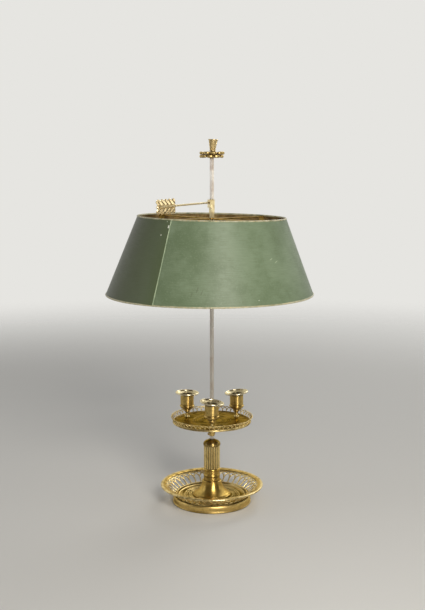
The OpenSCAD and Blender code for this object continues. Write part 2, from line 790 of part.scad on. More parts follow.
module shade_bottom_bead() {
    mid_x = (level_x(1) + level_x(-1)) / 2;
    translate([mid_x, 0, 0]) ring_bead((level_x(1) - level_x(-1)) / 2, shade_bottom_z, wire_r);
}

// The sheet stands on its bottom wire, has a groove for the top one, and laps at the seam
module shade_sheet() {
    seam_deg = seam_w / shade_bottom_r * 180 / PI * 1.15;
    below_z = shade_bottom_z - shade_bottom_r * sin(shade_lean) - 2 * wire_r;
    color(green) difference() {
        leaning() union() {
            rotate_extrude() difference() {
                sheet_section(below_z, shade_top_z, 0, shade_t);
                shade_wire_section(shade_top_z);
            }
            rotate(-90 - seam_angle - seam_deg / 2) rotate_extrude(angle = seam_deg)
                sheet_section(below_z, shade_top_z - wire_r - 1, shade_t, shade_t + overlap);
        }
        bore(2 * shade_bottom_r, below_z - shade_bottom_r, shade_bottom_z + wire_r);
        rivet_places() bore(rivet_r + thread_fit, -shade_t - through, -rivet_skin);
    }
}

module shade_top_wire() {
    color(gilt) leaning() rotate_extrude() shade_wire_section(shade_top_z);
}

module shade_bottom_wire() {
    color(gilt) shade_bottom_bead();
}

// Four arms square to the rod's faces, each with a tab that follows the inside of the shade
module shade_spider() {
    arm_r = shade_r(spider_top_z) - shade_t - wire_r - 0.6;
    tab_deg = arm_w * 2 / arm_r * 180 / PI;
    knee_r = shade_r(spider_top_z) - shade_t - 1;
    color(brass) difference() {
        leaning() union() {
            for (i = [0 : 3])
                rotate(45 + i * 90) {
                    translate([0, -arm_w / 2, spider_top_z - arm_t]) cube([arm_r, arm_w, arm_t]);
                    rotate(-tab_deg / 2) rotate_extrude(angle = tab_deg) {
                        sheet_section(spider_top_z - tab_h, spider_top_z, -shade_t, arm_t);
                        translate([arm_r - 2, spider_top_z - arm_t])
                            square([knee_r - arm_r + 2, arm_t]);
                    }
                }
            rotate(45) translate([-arm_w, -arm_w, spider_top_z - arm_t])
                cube([2 * arm_w, 2 * arm_w, arm_t]);
        }
        square_bar(neck_side + 2 * seat_fit, spider_top_z - arm_t - through,
                   spider_top_z + through);
        rivet_places() bore(rivet_r + thread_fit, rivet_seat - through, 0);
    }
}

// Two rivets to each tab, square to the sheet, drawn with z = 0 on the sheet's outer face
module rivet_places() {
    rivet_z = spider_top_z - tab_h * 0.62;
    spread = asin(arm_w * 0.5 / shade_r(rivet_z));
    leaning() for (i = [0 : 3], side = [-1, 1])
        rotate(45 + i * 90 + side * spread) translate([shade_r(rivet_z), 0, rivet_z])
            rotate([0, 90 - atan(shade_slope), 0]) children();
}

// Rivets with their heads inside the shade. The sheet's outer skin is filled and painted over.
module shade_rivets() {
    head_h = 0.9;
    color(brass) rivet_places() union() {
        translate([0, 0, rivet_seat - head_h])
            cylinder(r1 = rivet_r * 1.1, r2 = rivet_r * 1.6, h = head_h);
        bore(rivet_r, rivet_seat - overlap, -rivet_skin - thread_fit);
    }
}

// Square sleeve on the rod: a boss for the arrow's screw at its top, a thin neck at its foot
module shade_sleeve() {
    neck_z = spider_top_z - arm_t - neck_drop;
    boss_z = sleeve_top_z - boss_h;
    color(gilt) difference() {
        union() {
            square_bar(sleeve_side, sleeve_z, sleeve_top_z);
            square_bar(neck_side, neck_z, sleeve_z + overlap);
            translate([0, 0, boss_z]) rotate(key_turn) translate([0, -boss_w / 2, 0])
                cube([boss_face, boss_w, boss_h]);
        }
        square_bar(slide_side, neck_z - through, sleeve_top_z + through);
        along_key(arrow_z) cylinder(r = arrow_screw_r + thread_fit, h = boss_face + through);
    }
}

// ---- arrow --------------------------------------------------------------------------------

module arrow_screw() {
    color(bronze) along_key(arrow_z) translate([0, 0, rod_side / 2])
        cylinder(r = arrow_screw_r, h = arrow_screw_len - rod_side / 2);
}

// Turns a shape about the bend in the arrow, which is inside the shaft's collar
module bent() {
    translate([arrow_screw_len, 0, 0]) rotate([0, arrow_bend, 0])
        translate([-arrow_screw_len, 0, 0]) children();
}

// A shape drawn with x along the arrow, at the arrow's height
module on_arrow() {
    translate([0, 0, arrow_z]) rotate(key_turn) children();
}

module along_arrow(x) {
    translate([x, 0, 0]) rotate([0, 90, 0]) children();
}

module arrow_shaft() {
    collar_len = 2.4;
    color(gilt) on_arrow() union() {
        along_arrow(arrow_screw_len) cylinder(r = arrow_d / 2 + 0.3, h = collar_len);
        bent() along_arrow(arrow_screw_len + overlap)
            cylinder(d = arrow_d, h = quill_start + 14 - arrow_screw_len - overlap);
    }
}

// One feather above the quill, drawn with x along the arrow: a vane with a scalloped edge
module feather_outline() {
    tip_r = barb_pitch * 0.54;
    shoulder = feather_h - tip_r;
    nock = quill_start + barbs * barb_pitch;
    polygon([[quill_start, 0], [quill_start, shoulder], [quill_start + tip_r, feather_h - 1],
             [nock, feather_h - 1], [nock + 1, shoulder], [nock - 2.5, 0]]);
    for (i = [0 : barbs - 1])
        translate([quill_start + tip_r + i * barb_pitch, shoulder]) circle(tip_r);
}

// Both feathers and the quill in one casting, with a groove between every two barbs
module arrow_feathers() {
    groove = 0.5;
    quill_end = arrow_len - 3.5;
    root_z = quill_r * 0.6;
    run_back = (feather_h - root_z) * tan(barb_lean);
    color(gilt) on_arrow() bent() difference() {
        union() {
            for (side = [0, 1])
                mirror([0, 0, side]) rotate([90, 0, 0]) translate([0, 0, -feather_t / 2])
                    linear_extrude(height = feather_t) feather_outline();
            along_arrow(quill_start) cylinder(r1 = quill_r * 0.75, r2 = quill_r, h = 6);
            along_arrow(quill_start + 6 - overlap)
                cylinder(r = quill_r, h = quill_end - quill_start - 6 + overlap);
            along_arrow(quill_end - overlap)
                cylinder(r1 = quill_r, r2 = quill_r * 0.5, h = 3.5 + overlap);
        }
        for (side = [0, 1])
            mirror([0, 0, side])
                for (i = [1 : barbs + 1], face = [-1, 1])
                    translate([quill_start + i * barb_pitch + 0.8 - run_back,
                               face * feather_t / 2, root_z])
                        rotate([0, barb_lean, 0])
                            cylinder(r = groove, h = feather_h / cos(barb_lean), $fn = 16);
        along_arrow(quill_start - through)
            cylinder(d = arrow_d + 2 * thread_fit, h = 15.2 + through);
    }
}

foot_ring();
base_dish();
base_gallery();
base_lip();
base_washer();
base_nut();
pedestal();
column_ring();
column_shaft();
column_cap();
centre_rod();
finial_rosette();
finial_handle();
tray_plate();
tray_gallery();
tray_collar();
tray_screw_shank();
tray_screw_head();
stem_front();
stem_left();
stem_right();
socket_front();
socket_left();
socket_right();
socket_nuts();
pan_front();
pan_left();
pan_right();
shade_sheet();
shade_top_wire();
shade_bottom_wire();
shade_spider();
shade_rivets();
shade_sleeve();
arrow_screw();
arrow_shaft();
arrow_feathers();
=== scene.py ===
"""A bouillotte candle lamp, dressed: its finishes, and the shapes finer than the frame's.

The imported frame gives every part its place. Sizes are in millimetres, as on a maker's drawing,
and mm() turns them into Blender's metres. The lamp stands on z = 0 with its rod on the z axis,
and its front faces -y.
"""

import logging
import math
from abc import ABC, abstractmethod
from dataclasses import dataclass, field
from enum import Enum, IntEnum
from typing import Any, Sequence

import bmesh
import bpy
from mathutils import Matrix, Vector

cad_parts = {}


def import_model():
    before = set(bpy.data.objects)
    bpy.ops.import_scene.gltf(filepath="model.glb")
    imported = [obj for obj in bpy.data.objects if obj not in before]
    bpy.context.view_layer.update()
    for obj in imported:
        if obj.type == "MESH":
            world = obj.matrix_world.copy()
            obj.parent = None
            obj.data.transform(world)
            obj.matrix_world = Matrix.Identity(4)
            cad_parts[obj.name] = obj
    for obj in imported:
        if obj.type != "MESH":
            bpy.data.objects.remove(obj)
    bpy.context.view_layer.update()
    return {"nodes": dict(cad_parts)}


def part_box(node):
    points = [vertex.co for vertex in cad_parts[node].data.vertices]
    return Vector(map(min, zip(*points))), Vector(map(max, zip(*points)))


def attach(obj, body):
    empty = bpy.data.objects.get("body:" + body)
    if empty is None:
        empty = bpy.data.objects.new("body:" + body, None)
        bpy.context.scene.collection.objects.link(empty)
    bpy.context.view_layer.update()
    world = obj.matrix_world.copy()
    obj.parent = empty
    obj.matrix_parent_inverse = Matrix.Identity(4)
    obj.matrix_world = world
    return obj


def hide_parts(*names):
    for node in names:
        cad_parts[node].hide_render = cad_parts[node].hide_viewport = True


LOG = logging.getLogger("bouillotte_lamp")

MM_PER_M = 1000.0
M_PER_MM = 0.001
WELD_MM = 0.004  # points nearer than this are one point

KEY_TURN_DEG = -135.0  # both screws point this way, to the left of the front
SEAM_DEG = -120.1  # where the shade's lap ends, left of the front
SHADE_LEAN_DEG = 1.1  # the shade leans a little on its spider
SHADE_PIVOT_Z_MM = 513.7  # height of the point that it leans about
PAINT_RADIUS_MM = 155.0  # the shade's mean radius, on which its paint is set out

FRECKLES_PER_BLOTCH = 6
MARK_RAGGED = 1.6  # how far noise about 0.5 moves the outline of a worn place
MARK_BLUR = 0.15  # half the width over which that outline fades

Rgba = tuple[float, float, float, float]
Tree = bpy.types.NodeTree
Socket = bpy.types.NodeSocket


# ---- small tools --------------------------------------------------------------------------


def mm(value: float) -> float:
    """Turn millimetres into Blender's metres."""
    return value * M_PER_MM


def linear(code: str) -> Rgba:
    """Turn an sRGB hex colour into the linear colour that Blender's sockets take.

    Args:
        code: The colour as "#rrggbb".

    Returns:
        Linear red, green and blue, with an alpha of 1.
    """
    channels = [int(code[i:i + 2], 16) / 255 for i in (1, 3, 5)]
    bent = [c / 12.92 if c <= 0.04045 else ((c + 0.055) / 1.055) ** 2.4 for c in channels]
    return (bent[0], bent[1], bent[2], 1.0)


def add_node(
    tree: Tree,
    kind: str,
    values: dict[Any, Any] | None = None,
    links: dict[Any, Socket] | None = None,
    **settings: Any,
) -> bpy.types.Node:
    """Add one node to a tree, with its settings, its socket values and its links.

    Args:
        tree: The material's or world's node tree.
        kind: The node's Blender type name.
        values: Constants by the name or number of the input socket.
        links: Source sockets by the name or number of the input socket.
        settings: Attributes of the node itself, set before its sockets are used.

    Returns:
        The new node.
    """
    node = tree.nodes.new(kind)
    for name, value in settings.items():
        setattr(node, name, value)
    for socket, value in (values or {}).items():
        node.inputs[socket].default_value = value
    for socket, source in (links or {}).items():
        tree.links.new(source, node.inputs[socket])
    return node


def empty_material(name: str) -> tuple[bpy.types.Material, Tree]:
    """Make a material whose node tree is still empty.

    Args:
        name: The material's name.

    Returns:
        The material and its node tree.
    """
    made = bpy.data.materials.new(name)
    made.use_nodes = True
    made.node_tree.nodes.clear()
    return made, made.node_tree


def smooth_step(value: float, low: float, high: float) -> float:
    """Ease from 0 at low to 1 at high."""
    share = min(1.0, max(0.0, (value - low) / (high - low)))
    return share * share * (3 - 2 * share)


def quarter_round(share: float, power: float = 2.0) -> float:
    """Fall from 1 to 0 along a quarter round, as the share grows from 0 to 1."""
    return math.sqrt(max(0.0, 1.0 - share ** power))


def middle_z(node: str) -> float:
    """Return the height of the middle of one of the frame's nodes, in millimetres."""
    low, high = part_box(node)
    return (low.z + high.z) / 2 * MM_PER_M


def polar(radius: float, angle_deg: float, height: float) -> Vector:
    """Place a point at a radius and an angle round the rod's axis."""
    angle = math.radians(angle_deg)
    return Vector((radius * math.cos(angle), radius * math.sin(angle), height))


def soft_section(width: float, thick: float, steps: int, squareness: float) -> list[Vector]:
    """Draw the outline of a rounded bar's section.

    Args:
        width: Size across the bar.
        thick: Size through the bar.
        steps: Number of points round the outline.
        squareness: 1 gives an ellipse, and smaller values fill its corners.

    Returns:
        Points with x across and y through the bar.
    """
    outline = []
    for step in range(steps):
        angle = 2 * math.pi * (step + 0.5) / steps
        across, through = math.cos(angle), math.sin(angle)
        outline.append(Vector((
            width / 2 * math.copysign(abs(across) ** squareness, across),
            thick / 2 * math.copysign(abs(through) ** squareness, through),
            0.0,
        )))
    return outline


class Draft:
    """A mesh being drawn, in millimetres: its points, its faces and each face's finish."""

    def __init__(self) -> None:
        """Start with nothing drawn."""
        self.points: list[Vector] = []
        self.faces: list[tuple[int, ...]] = []
        self.finishes: list[int] = []

    def skin(
        self,
        rows: Sequence[Sequence[Vector]],
        round_rows: bool = False,
        round_points: bool = False,
        finish: int = 0,
    ) -> list[list[int]]:
        """Lay a skin of four-sided faces over rows of points.

        Args:
            rows: Rows with the same number of points each.
            round_rows: Whether the last row joins the first.
            round_points: Whether each row's last point joins its first.
            finish: Number of the finish on these faces.

        Returns:
            The numbers of the points, row by row.
        """
        numbers = []
        for row in rows:
            numbers.append(list(range(len(self.points), len(self.points) + len(row))))
            self.points.extend(row)
        across = len(rows[0])
        for i in range(len(rows) if round_rows else len(rows) - 1):
            here, there = numbers[i], numbers[(i + 1) % len(rows)]
            for j in range(across if round_points else across - 1):
                k = (j + 1) % across
                self.faces.append((here[j], here[k], there[k], there[j]))
                self.finishes.append(finish)
        return numbers

    def cap(self, ring: Sequence[int]) -> None:
        """Close a ring of points with one face in the first finish."""
        self.faces.append(tuple(ring))
        self.finishes.append(0)

    def tube(self, rings: Sequence[Sequence[Vector]]) -> None:
        """Skin rings of points as a tube whose two ends are closed.

        Args:
            rings: Rings with the same number of points each.
        """
        numbers = self.skin(rings, round_points=True)
        self.cap(numbers[0])
        self.cap(numbers[-1][::-1])

    def sweep(
        self,
        path: Sequence[Vector],
        outwards: Sequence[Vector],
        section: Sequence[Vector],
        closed: bool = False,
    ) -> None:
        """Sweep a section along a path.

        Args:
            path: The middle of the bar.
            outwards: The direction at each point that the section's y follows.
            section: The outline, x across the bar and y through it.
            closed: Whether the path is a ring.
        """
        last = len(path) - 1
        rows = []
        for i, middle in enumerate(path):
            before = path[i - 1] if i > 0 or closed else path[0]
            after = path[(i + 1) % len(path)] if i < last or closed else path[last]
            along = (after - before).normalized()
            across = along.cross(outwards[i]).normalized()
            through = across.cross(along).normalized()
            rows.append([middle + across * p.x + through * p.y for p in section])
        if closed:
            self.skin(rows, round_rows=True, round_points=True)
        else:
            self.tube(rows)

    def turn(self, profile: Sequence[tuple[float, float]], steps: int) -> None:
        """Turn a closed outline of (radius, height) points about the z axis."""
        rows = [[polar(r, 360 * i / steps, z) for r, z in profile] for i in range(steps)]
        self.skin(rows, round_rows=True, round_points=True)

    def piece(
        self, name: str, place: Matrix | None = None, crease_deg: float = 40.0,
    ) -> bpy.types.Object:
        """Turn the draft into a Blender object in metres.

        Args:
            name: The piece's name.
            place: Where the drawing goes, in millimetres, if it isn't drawn in place.
            crease_deg: Edges sharper than this stay crisp.

        Returns:
            The object, with outward faces.
        """
        mesh = bpy.data.meshes.new(name)
        placed = [place @ p for p in self.points] if place else self.points
        mesh.from_pydata([p * M_PER_MM for p in placed], [], self.faces)
        mesh.polygons.foreach_set("material_index", self.finishes)
        mesh.validate()
        tidy_mesh(mesh)
        mesh.shade_smooth()
        mesh.set_sharp_from_angle(angle=math.radians(crease_deg))
        thing = bpy.data.objects.new(name, mesh)
        bpy.context.scene.collection.objects.link(thing)
        return thing


def tidy_mesh(mesh: bpy.types.Mesh) -> None:
    """Join the points that lie on each other, and turn every face of a closed mesh outwards.

    Args:
        mesh: The mesh, which is changed in place.
    """
    work = bmesh.new()
    work.from_mesh(mesh)
    bmesh.ops.remove_doubles(work, verts=work.verts, dist=mm(WELD_MM))
    bmesh.ops.recalc_face_normals(work, faces=work.faces)
    work.to_mesh(mesh)
    work.free()


# ---- finishes -----------------------------------------------------------------------------


@dataclass(frozen=True)
class AgedMetal:
    """What every bare metal of the lamp shares: tarnish, and dirt with painted shade in the
    hollows, rubbed edges, fine relief.

    The subclasses name the metals and how they were worked.
    """

    name: str
    bright: str
    tarnished: str
    # dark colour of dirt in the hollows, which also stands for painted shade there
    grime_and_shade: str
    rubbed: str
    smooth: float
    dull: float
    blotch_mm: float = 14.0
    tarnish_share: float = 0.5
    hollow_mm: float = 5.0
    grime_and_shade_share: float = 0.8
    edge_mm: float = 0.5
    rub_share: float = 0.6
    grain_mm: float = 0.5  # real buffing marks are under 0.1 mm, too fine to show
    grain_depth_mm: float = 0.02
    tool_mark_mm: float = 0.0
    tool_depth_mm: float = 0.01
    drawn_marks: bool = False
    drawn_scale: float = 0.012  # along the bar, which draws each mark out about 80 times
    anisotropy: float = 0.0
    axis_mm: tuple[float, float] = (0.0, 0.0)
    wax_and_shade_mm: tuple[float, float] | None = None  # the radius still clean, and the one darkest: wax in a pan, wax and painted shade in flutes
    ring_tarnish: float = 0.0
    marks_per_ring: float = 1.6  # tool marks to each ring of tarnish
    grazed: str = "#f0e3c4"
    handled_mm: tuple[float, float] | None = None  # a rim's radius where polish starts and is full

    def material(self) -> bpy.types.Material:
        """Build the node material.

        Returns:
            The new material.
        """
        made, tree = empty_material(self.name)
        place = add_node(tree, "ShaderNodeTexCoord").outputs["Object"]
        local = add_node(
            tree, "ShaderNodeMapping",
            {"Location": (-mm(self.axis_mm[0]), -mm(self.axis_mm[1]), 0.0)},
            {"Vector": place},
        ).outputs[0]
        blotches = add_node(
            tree, "ShaderNodeTexNoise",
            {"Scale": 1 / mm(self.blotch_mm), "Detail": 5.0, "Roughness": 0.62, "Distortion": 0.4},
            {"Vector": place},
        ).outputs[0]
        if self.ring_tarnish:
            blotches = self.ringed(tree, local, blotches)
        tarnish = add_node(
            tree, "ShaderNodeMapRange",
            {"From Min": 0.42, "From Max": 0.66, "To Max": self.tarnish_share},
            {"Value": blotches}, interpolation_type="SMOOTHSTEP",
        ).outputs[0]
        freckles = add_node(
            tree, "ShaderNodeTexNoise",
            {"Scale": 1 / mm(self.blotch_mm / FRECKLES_PER_BLOTCH), "Detail": 3.0,
             "Roughness": 0.5},
            {"Vector": place},
        ).outputs[0]
        # ambient occlusion darkens the colour in hollows and next to other parts: dirt there, and
        # painted shade too
        hollow = add_node(
            tree, "ShaderNodeAmbientOcclusion", {"Distance": mm(self.hollow_mm)}, samples=6,
        ).outputs["AO"]
        grime_and_shade = add_node(
            tree, "ShaderNodeMapRange",
            {"From Min": 0.9, "From Max": 0.35, "To Max": self.grime_and_shade_share},
            {"Value": hollow}, interpolation_type="SMOOTHSTEP",
        ).outputs[0]
        if self.wax_and_shade_mm:
            grime_and_shade = self.darken_with_wax_and_shade(tree, local, grime_and_shade)
        rounded = add_node(
            tree, "ShaderNodeBevel", {"Radius": mm(self.edge_mm)}, samples=4,
        ).outputs[0]
        rub = self.edge_rub(tree, rounded, freckles)
        if self.handled_mm:
            rub = self.handled_rim(tree, local, rub, blotches)

        colour = add_node(
            tree, "ShaderNodeMix", {6: linear(self.bright), 7: linear(self.tarnished)},
            {0: tarnish}, data_type="RGBA",
        ).outputs[2]
        for mask, coat in ((grime_and_shade, self.grime_and_shade), (rub, self.rubbed)):
            colour = add_node(
                tree, "ShaderNodeMix", {7: linear(coat)}, {0: mask, 6: colour}, data_type="RGBA",
            ).outputs[2]
        dullness = add_node(
            tree, "ShaderNodeMath", links={0: tarnish, 1: grime_and_shade}, operation="MAXIMUM",
        ).outputs[0]
        roughness = add_node(
            tree, "ShaderNodeMapRange", {"To Min": self.smooth, "To Max": self.dull},
            {"Value": dullness},
        ).outputs[0]
        speckled = add_node(
            tree, "ShaderNodeMath", {1: 0.10}, {0: freckles, 2: roughness},
            operation="MULTIPLY_ADD",
        ).outputs[0]
        shader = add_node(
            tree, "ShaderNodeBsdfPrincipled",
            {"Metallic": 1.0, "Specular Tint": linear(self.grazed),
             "Anisotropic": self.anisotropy, "Anisotropic Rotation": 0.25},
            {"Base Color": colour, "Roughness": speckled,
             "Normal": self.relief(tree, local, rounded)},
        )
        if self.anisotropy:
            grain_way = add_node(
                tree, "ShaderNodeTangent", direction_type="RADIAL", axis="Z",
            ).outputs[0]
            tree.links.new(grain_way, shader.inputs["Tangent"])
        add_node(tree, "ShaderNodeOutputMaterial", links={"Surface": shader.outputs[0]})
        return made

    def ringed(self, tree: Tree, local: Socket, blotches: Socket) -> Socket:
        """Let the tarnish sit in rings, where a coarse lathe cut holds it.

        Args:
            tree: The material's node tree.
            local: Coordinates from the piece's own axis.
            blotches: Soft noise that the tarnish follows.

        Returns:
            The noise with rings in it.
        """
        rings = add_node(
            tree, "ShaderNodeTexNoise",
            {"Scale": 1 / mm(self.tool_mark_mm * self.marks_per_ring), "Detail": 2.0,
             "Roughness": 0.6},
            {"Vector": ring_space(tree, local)},
        ).outputs[0]
        shift = add_node(
            tree, "ShaderNodeMapRange",
            {"To Min": -self.ring_tarnish, "To Max": self.ring_tarnish}, {"Value": rings},
        ).outputs[0]
        return add_node(tree, "ShaderNodeMath", links={0: blotches, 1: shift}).outputs[0]

    def darken_with_wax_and_shade(self, tree: Tree, local: Socket, grime_and_shade: Socket) -> Socket:
        """Darken a surface towards its axis: old wax in a drip pan's middle, wax and painted shade
        in flutes.

        Args:
            tree: The material's node tree.
            local: Coordinates from the piece's own axis.
            grime_and_shade: The dirt and painted shade found so far.

        Returns:
            The dirt and painted shade, with this darkening added.
        """
        radius = ring_radius(tree, local)
        clean_r, darkest_r = self.wax_and_shade_mm
        wax_and_shade = add_node(
            tree, "ShaderNodeMapRange",
            {"From Min": mm(clean_r), "From Max": mm(darkest_r), "To Max": self.grime_and_shade_share},
            {"Value": radius},
        ).outputs[0]
        return add_node(
            tree, "ShaderNodeMath", links={0: grime_and_shade, 1: wax_and_shade}, operation="MAXIMUM",
        ).outputs[0]

    def handled_rim(self, tree: Tree, local: Socket, rub: Socket, blotches: Socket) -> Socket:
        """Brighten a rolled rim, which fingers have polished in places all round.

        Args:
            tree: The material's node tree.
            local: Coordinates from the piece's own axis.
            rub: The rubbing found so far.
            blotches: Soft noise that breaks the polish up.

        Returns:
            The rubbing with the rim added.
        """
        radius = ring_radius(tree, local)
        inner_r, outer_r = self.handled_mm
        rim = add_node(
            tree, "ShaderNodeMapRange",
            {"From Min": mm(inner_r), "From Max": mm(outer_r), "To Max": self.rub_share},
            {"Value": radius}, interpolation_type="SMOOTHSTEP",
        ).outputs[0]
        held = add_node(
            tree, "ShaderNodeMapRange",
            {"From Min": 0.36, "From Max": 0.56, "To Min": 1.0, "To Max": 0.25},
            {"Value": blotches},
        ).outputs[0]
        polished = add_node(
            tree, "ShaderNodeMath", links={0: rim, 1: held}, operation="MULTIPLY",
        ).outputs[0]
        return add_node(
            tree, "ShaderNodeMath", links={0: rub, 1: polished}, operation="MAXIMUM",
        ).outputs[0]

    def edge_rub(self, tree: Tree, rounded: Socket, freckles: Socket) -> Socket:
        """Find the edges, where handling keeps the metal bright.

        Args:
            tree: The material's node tree.
            rounded: The normal with its edges rounded.
            freckles: Fine noise that breaks the rubbing up.

        Returns:
            A mask that is high on edges.
        """
        flat = add_node(tree, "ShaderNodeNewGeometry").outputs["Normal"]
        likeness = add_node(
            tree, "ShaderNodeVectorMath", links={0: rounded, 1: flat}, operation="DOT_PRODUCT",
        ).outputs["Value"]
        edge = add_node(
            tree, "ShaderNodeMapRange",
            {"From Min": 0.995, "From Max": 0.86, "To Max": self.rub_share},
            {"Value": likeness},
        ).outputs[0]
        broken = add_node(
            tree, "ShaderNodeMapRange",
            {"From Min": 0.3, "From Max": 0.6, "To Min": 0.35, "To Max": 1.0},
            {"Value": freckles},
        ).outputs[0]
        return add_node(
            tree, "ShaderNodeMath", links={0: edge, 1: broken}, operation="MULTIPLY",
        ).outputs[0]

    def relief(self, tree: Tree, local: Socket, rounded: Socket) -> Socket:
        """Raise the fine relief that the working of the metal leaves.

        Args:
            tree: The material's node tree.
            local: Coordinates from the piece's own axis.
            rounded: The normal with its edges rounded.

        Returns:
            The finished normal.
        """
        grain = add_node(
            tree, "ShaderNodeTexNoise",
            {"Scale": 1 / mm(self.grain_mm), "Detail": 3.0, "Roughness": 0.6},
            {"Vector": self.grain_space(tree, local)},
        ).outputs[0]
        normal = add_node(
            tree, "ShaderNodeBump", {"Strength": 1.0, "Distance": mm(self.grain_depth_mm)},
            {"Height": grain, "Normal": rounded},
        ).outputs[0]
        if not self.tool_mark_mm:
            return normal
        rings = add_node(
            tree, "ShaderNodeTexNoise",
            {"Scale": 1 / mm(self.tool_mark_mm), "Detail": 2.0, "Roughness": 0.7},
            {"Vector": ring_space(tree, local)},
        ).outputs[0]
        return add_node(
            tree, "ShaderNodeBump", {"Strength": 1.0, "Distance": mm(self.tool_depth_mm)},
            {"Height": rings, "Normal": normal},
        ).outputs[0]

    def grain_space(self, tree: Tree, local: Socket) -> Socket:
        """Stretch the grain along the rod where the bar was drawn through a die.

        Args:
            tree: The material's node tree.
            local: Coordinates from the piece's own axis.

        Returns:
            Coordinates for the grain.
        """
        if not self.drawn_marks:
            return local
        return add_node(
            tree, "ShaderNodeVectorMath", {1: (1.0, 1.0, self.drawn_scale)}, {0: local},
            operation="MULTIPLY",
        ).outputs[0]


def ring_space(tree: Tree, local: Socket) -> Socket:
    """Give coordinates in which all points of a turned ring are one point.

    Args:
        tree: The material's node tree.
        local: Coordinates from the turning axis.

    Returns:
        A vector of radius and height.
    """
    flat = add_node(
        tree, "ShaderNodeVectorMath", {1: (1.0, 1.0, 0.0)}, {0: local}, operation="MULTIPLY",
    ).outputs[0]
    radius = add_node(
        tree, "ShaderNodeVectorMath", links={0: flat}, operation="LENGTH",
    ).outputs["Value"]
    height = add_node(tree, "ShaderNodeSeparateXYZ", links={0: local}).outputs[2]
    return add_node(tree, "ShaderNodeCombineXYZ", links={0: radius, 2: height}).outputs[0]


def ring_radius(tree: Tree, local: Socket) -> Socket:
    """Give the radius of the turned ring that each point lies on."""
    return add_node(tree, "ShaderNodeSeparateXYZ", links={0: ring_space(tree, local)}).outputs[0]


# Cartridge brass turned on a lathe and lacquered. The lathe leaves fine rings that draw each
# highlight out into an upright band, and the hollows are darkened brown: tarnish under the old
# lacquer, and painted shade.
@dataclass(frozen=True)
class TurnedBrass(AgedMetal):
    """Turned and lacquered cartridge brass."""

    name: str = "turned_brass"
    bright: str = "#d2b162"
    tarnished: str = "#8d7437"
    grime_and_shade: str = "#2b2411"
    rubbed: str = "#efdca0"
    smooth: float = 0.25
    dull: float = 0.42
    tool_mark_mm: float = 0.9  # real marks are 0.2 mm apart, too fine to show
    tool_depth_mm: float = 0.02
    anisotropy: float = 0.8


# Brass cast in sand, chased by hand and fire-gilt. The gilding is paler and softer than brass,
# the casting keeps a slight pebble, and the chasing's hollows are darkened: dark wax, and painted
# shade.
@dataclass(frozen=True)
class CastGilt(AgedMetal):
    """Cast, chased and fire-gilt brass."""

    name: str = "cast_gilt"
    bright: str = "#dabb6f"
    tarnished: str = "#9a8040"
    grime_and_shade: str = "#282010"
    rubbed: str = "#f5e6b4"
    smooth: float = 0.23
    dull: float = 0.48
    blotch_mm: float = 9.0
    hollow_mm: float = 4.0
    grain_mm: float = 0.7  # real casting sand is 0.2 mm, too fine to show
    grain_depth_mm: float = 0.05


# Thin sheet brass spun over a form and polished. It is paler and cooler than the turned brass,
# almost without tarnish on its rim, and its spinning marks are closer than a lathe's.
@dataclass(frozen=True)
class SpunBrass(AgedMetal):
    """Spun and polished sheet brass."""

    name: str = "spun_brass"
    bright: str = "#dfd3ae"
    tarnished: str = "#b3a075"
    grime_and_shade: str = "#3a3218"
    rubbed: str = "#f4ebcc"
    smooth: float = 0.2
    dull: float = 0.36
    blotch_mm: float = 7.0
    tarnish_share: float = 0.3
    hollow_mm: float = 3.0
    grime_and_shade_share: float = 0.5
    rub_share: float = 0.9
    tool_mark_mm: float = 0.7  # real marks are 0.15 mm apart, too fine to show
    tool_depth_mm: float = 0.015
    anisotropy: float = 0.5
    grazed: str = "#f8f1dc"


# Bright mild steel, drawn square through a die and rubbed with emery along its length. It shows
# long fine streaks, a cool grey face and a warm bloom of old oil.
@dataclass(frozen=True)
class DrawnSteel(AgedMetal):
    """Drawn mild steel, rubbed lengthwise."""

    name: str = "drawn_steel"
    bright: str = "#e4ded3"
    tarnished: str = "#b8977c"
    grime_and_shade: str = "#3b342e"
    rubbed: str = "#f1eeea"
    smooth: float = 0.24
    dull: float = 0.42
    blotch_mm: float = 45.0
    edge_mm: float = 0.35
    grain_mm: float = 0.35  # real emery lines are 0.05 mm apart, too fine to show
    grain_depth_mm: float = 0.03
    drawn_marks: bool = True
    grazed: str = "#ffffff"


# Gunmetal screw stock, left dark with oil; its thread's valleys are darkened as oil and painted
# shade.
@dataclass(frozen=True)
class OiledBronze(AgedMetal):
    """Dark oiled bronze of the screw threads."""

    name: str = "oiled_bronze"
    bright: str = "#7d5f34"
    tarnished: str = "#4f3a1e"
    grime_and_shade: str = "#1c140a"
    rubbed: str = "#c79c5a"
    smooth: float = 0.34
    dull: float = 0.55
    edge_mm: float = 0.1
    hollow_mm: float = 0.6


@dataclass(frozen=True)
class Mark:
    """One worn place in the paint, set out round the shade and by height."""

    angle_deg: float
    height_mm: float
    half_long_mm: float
    half_tall_mm: float
    tilt_deg: float = 0.0


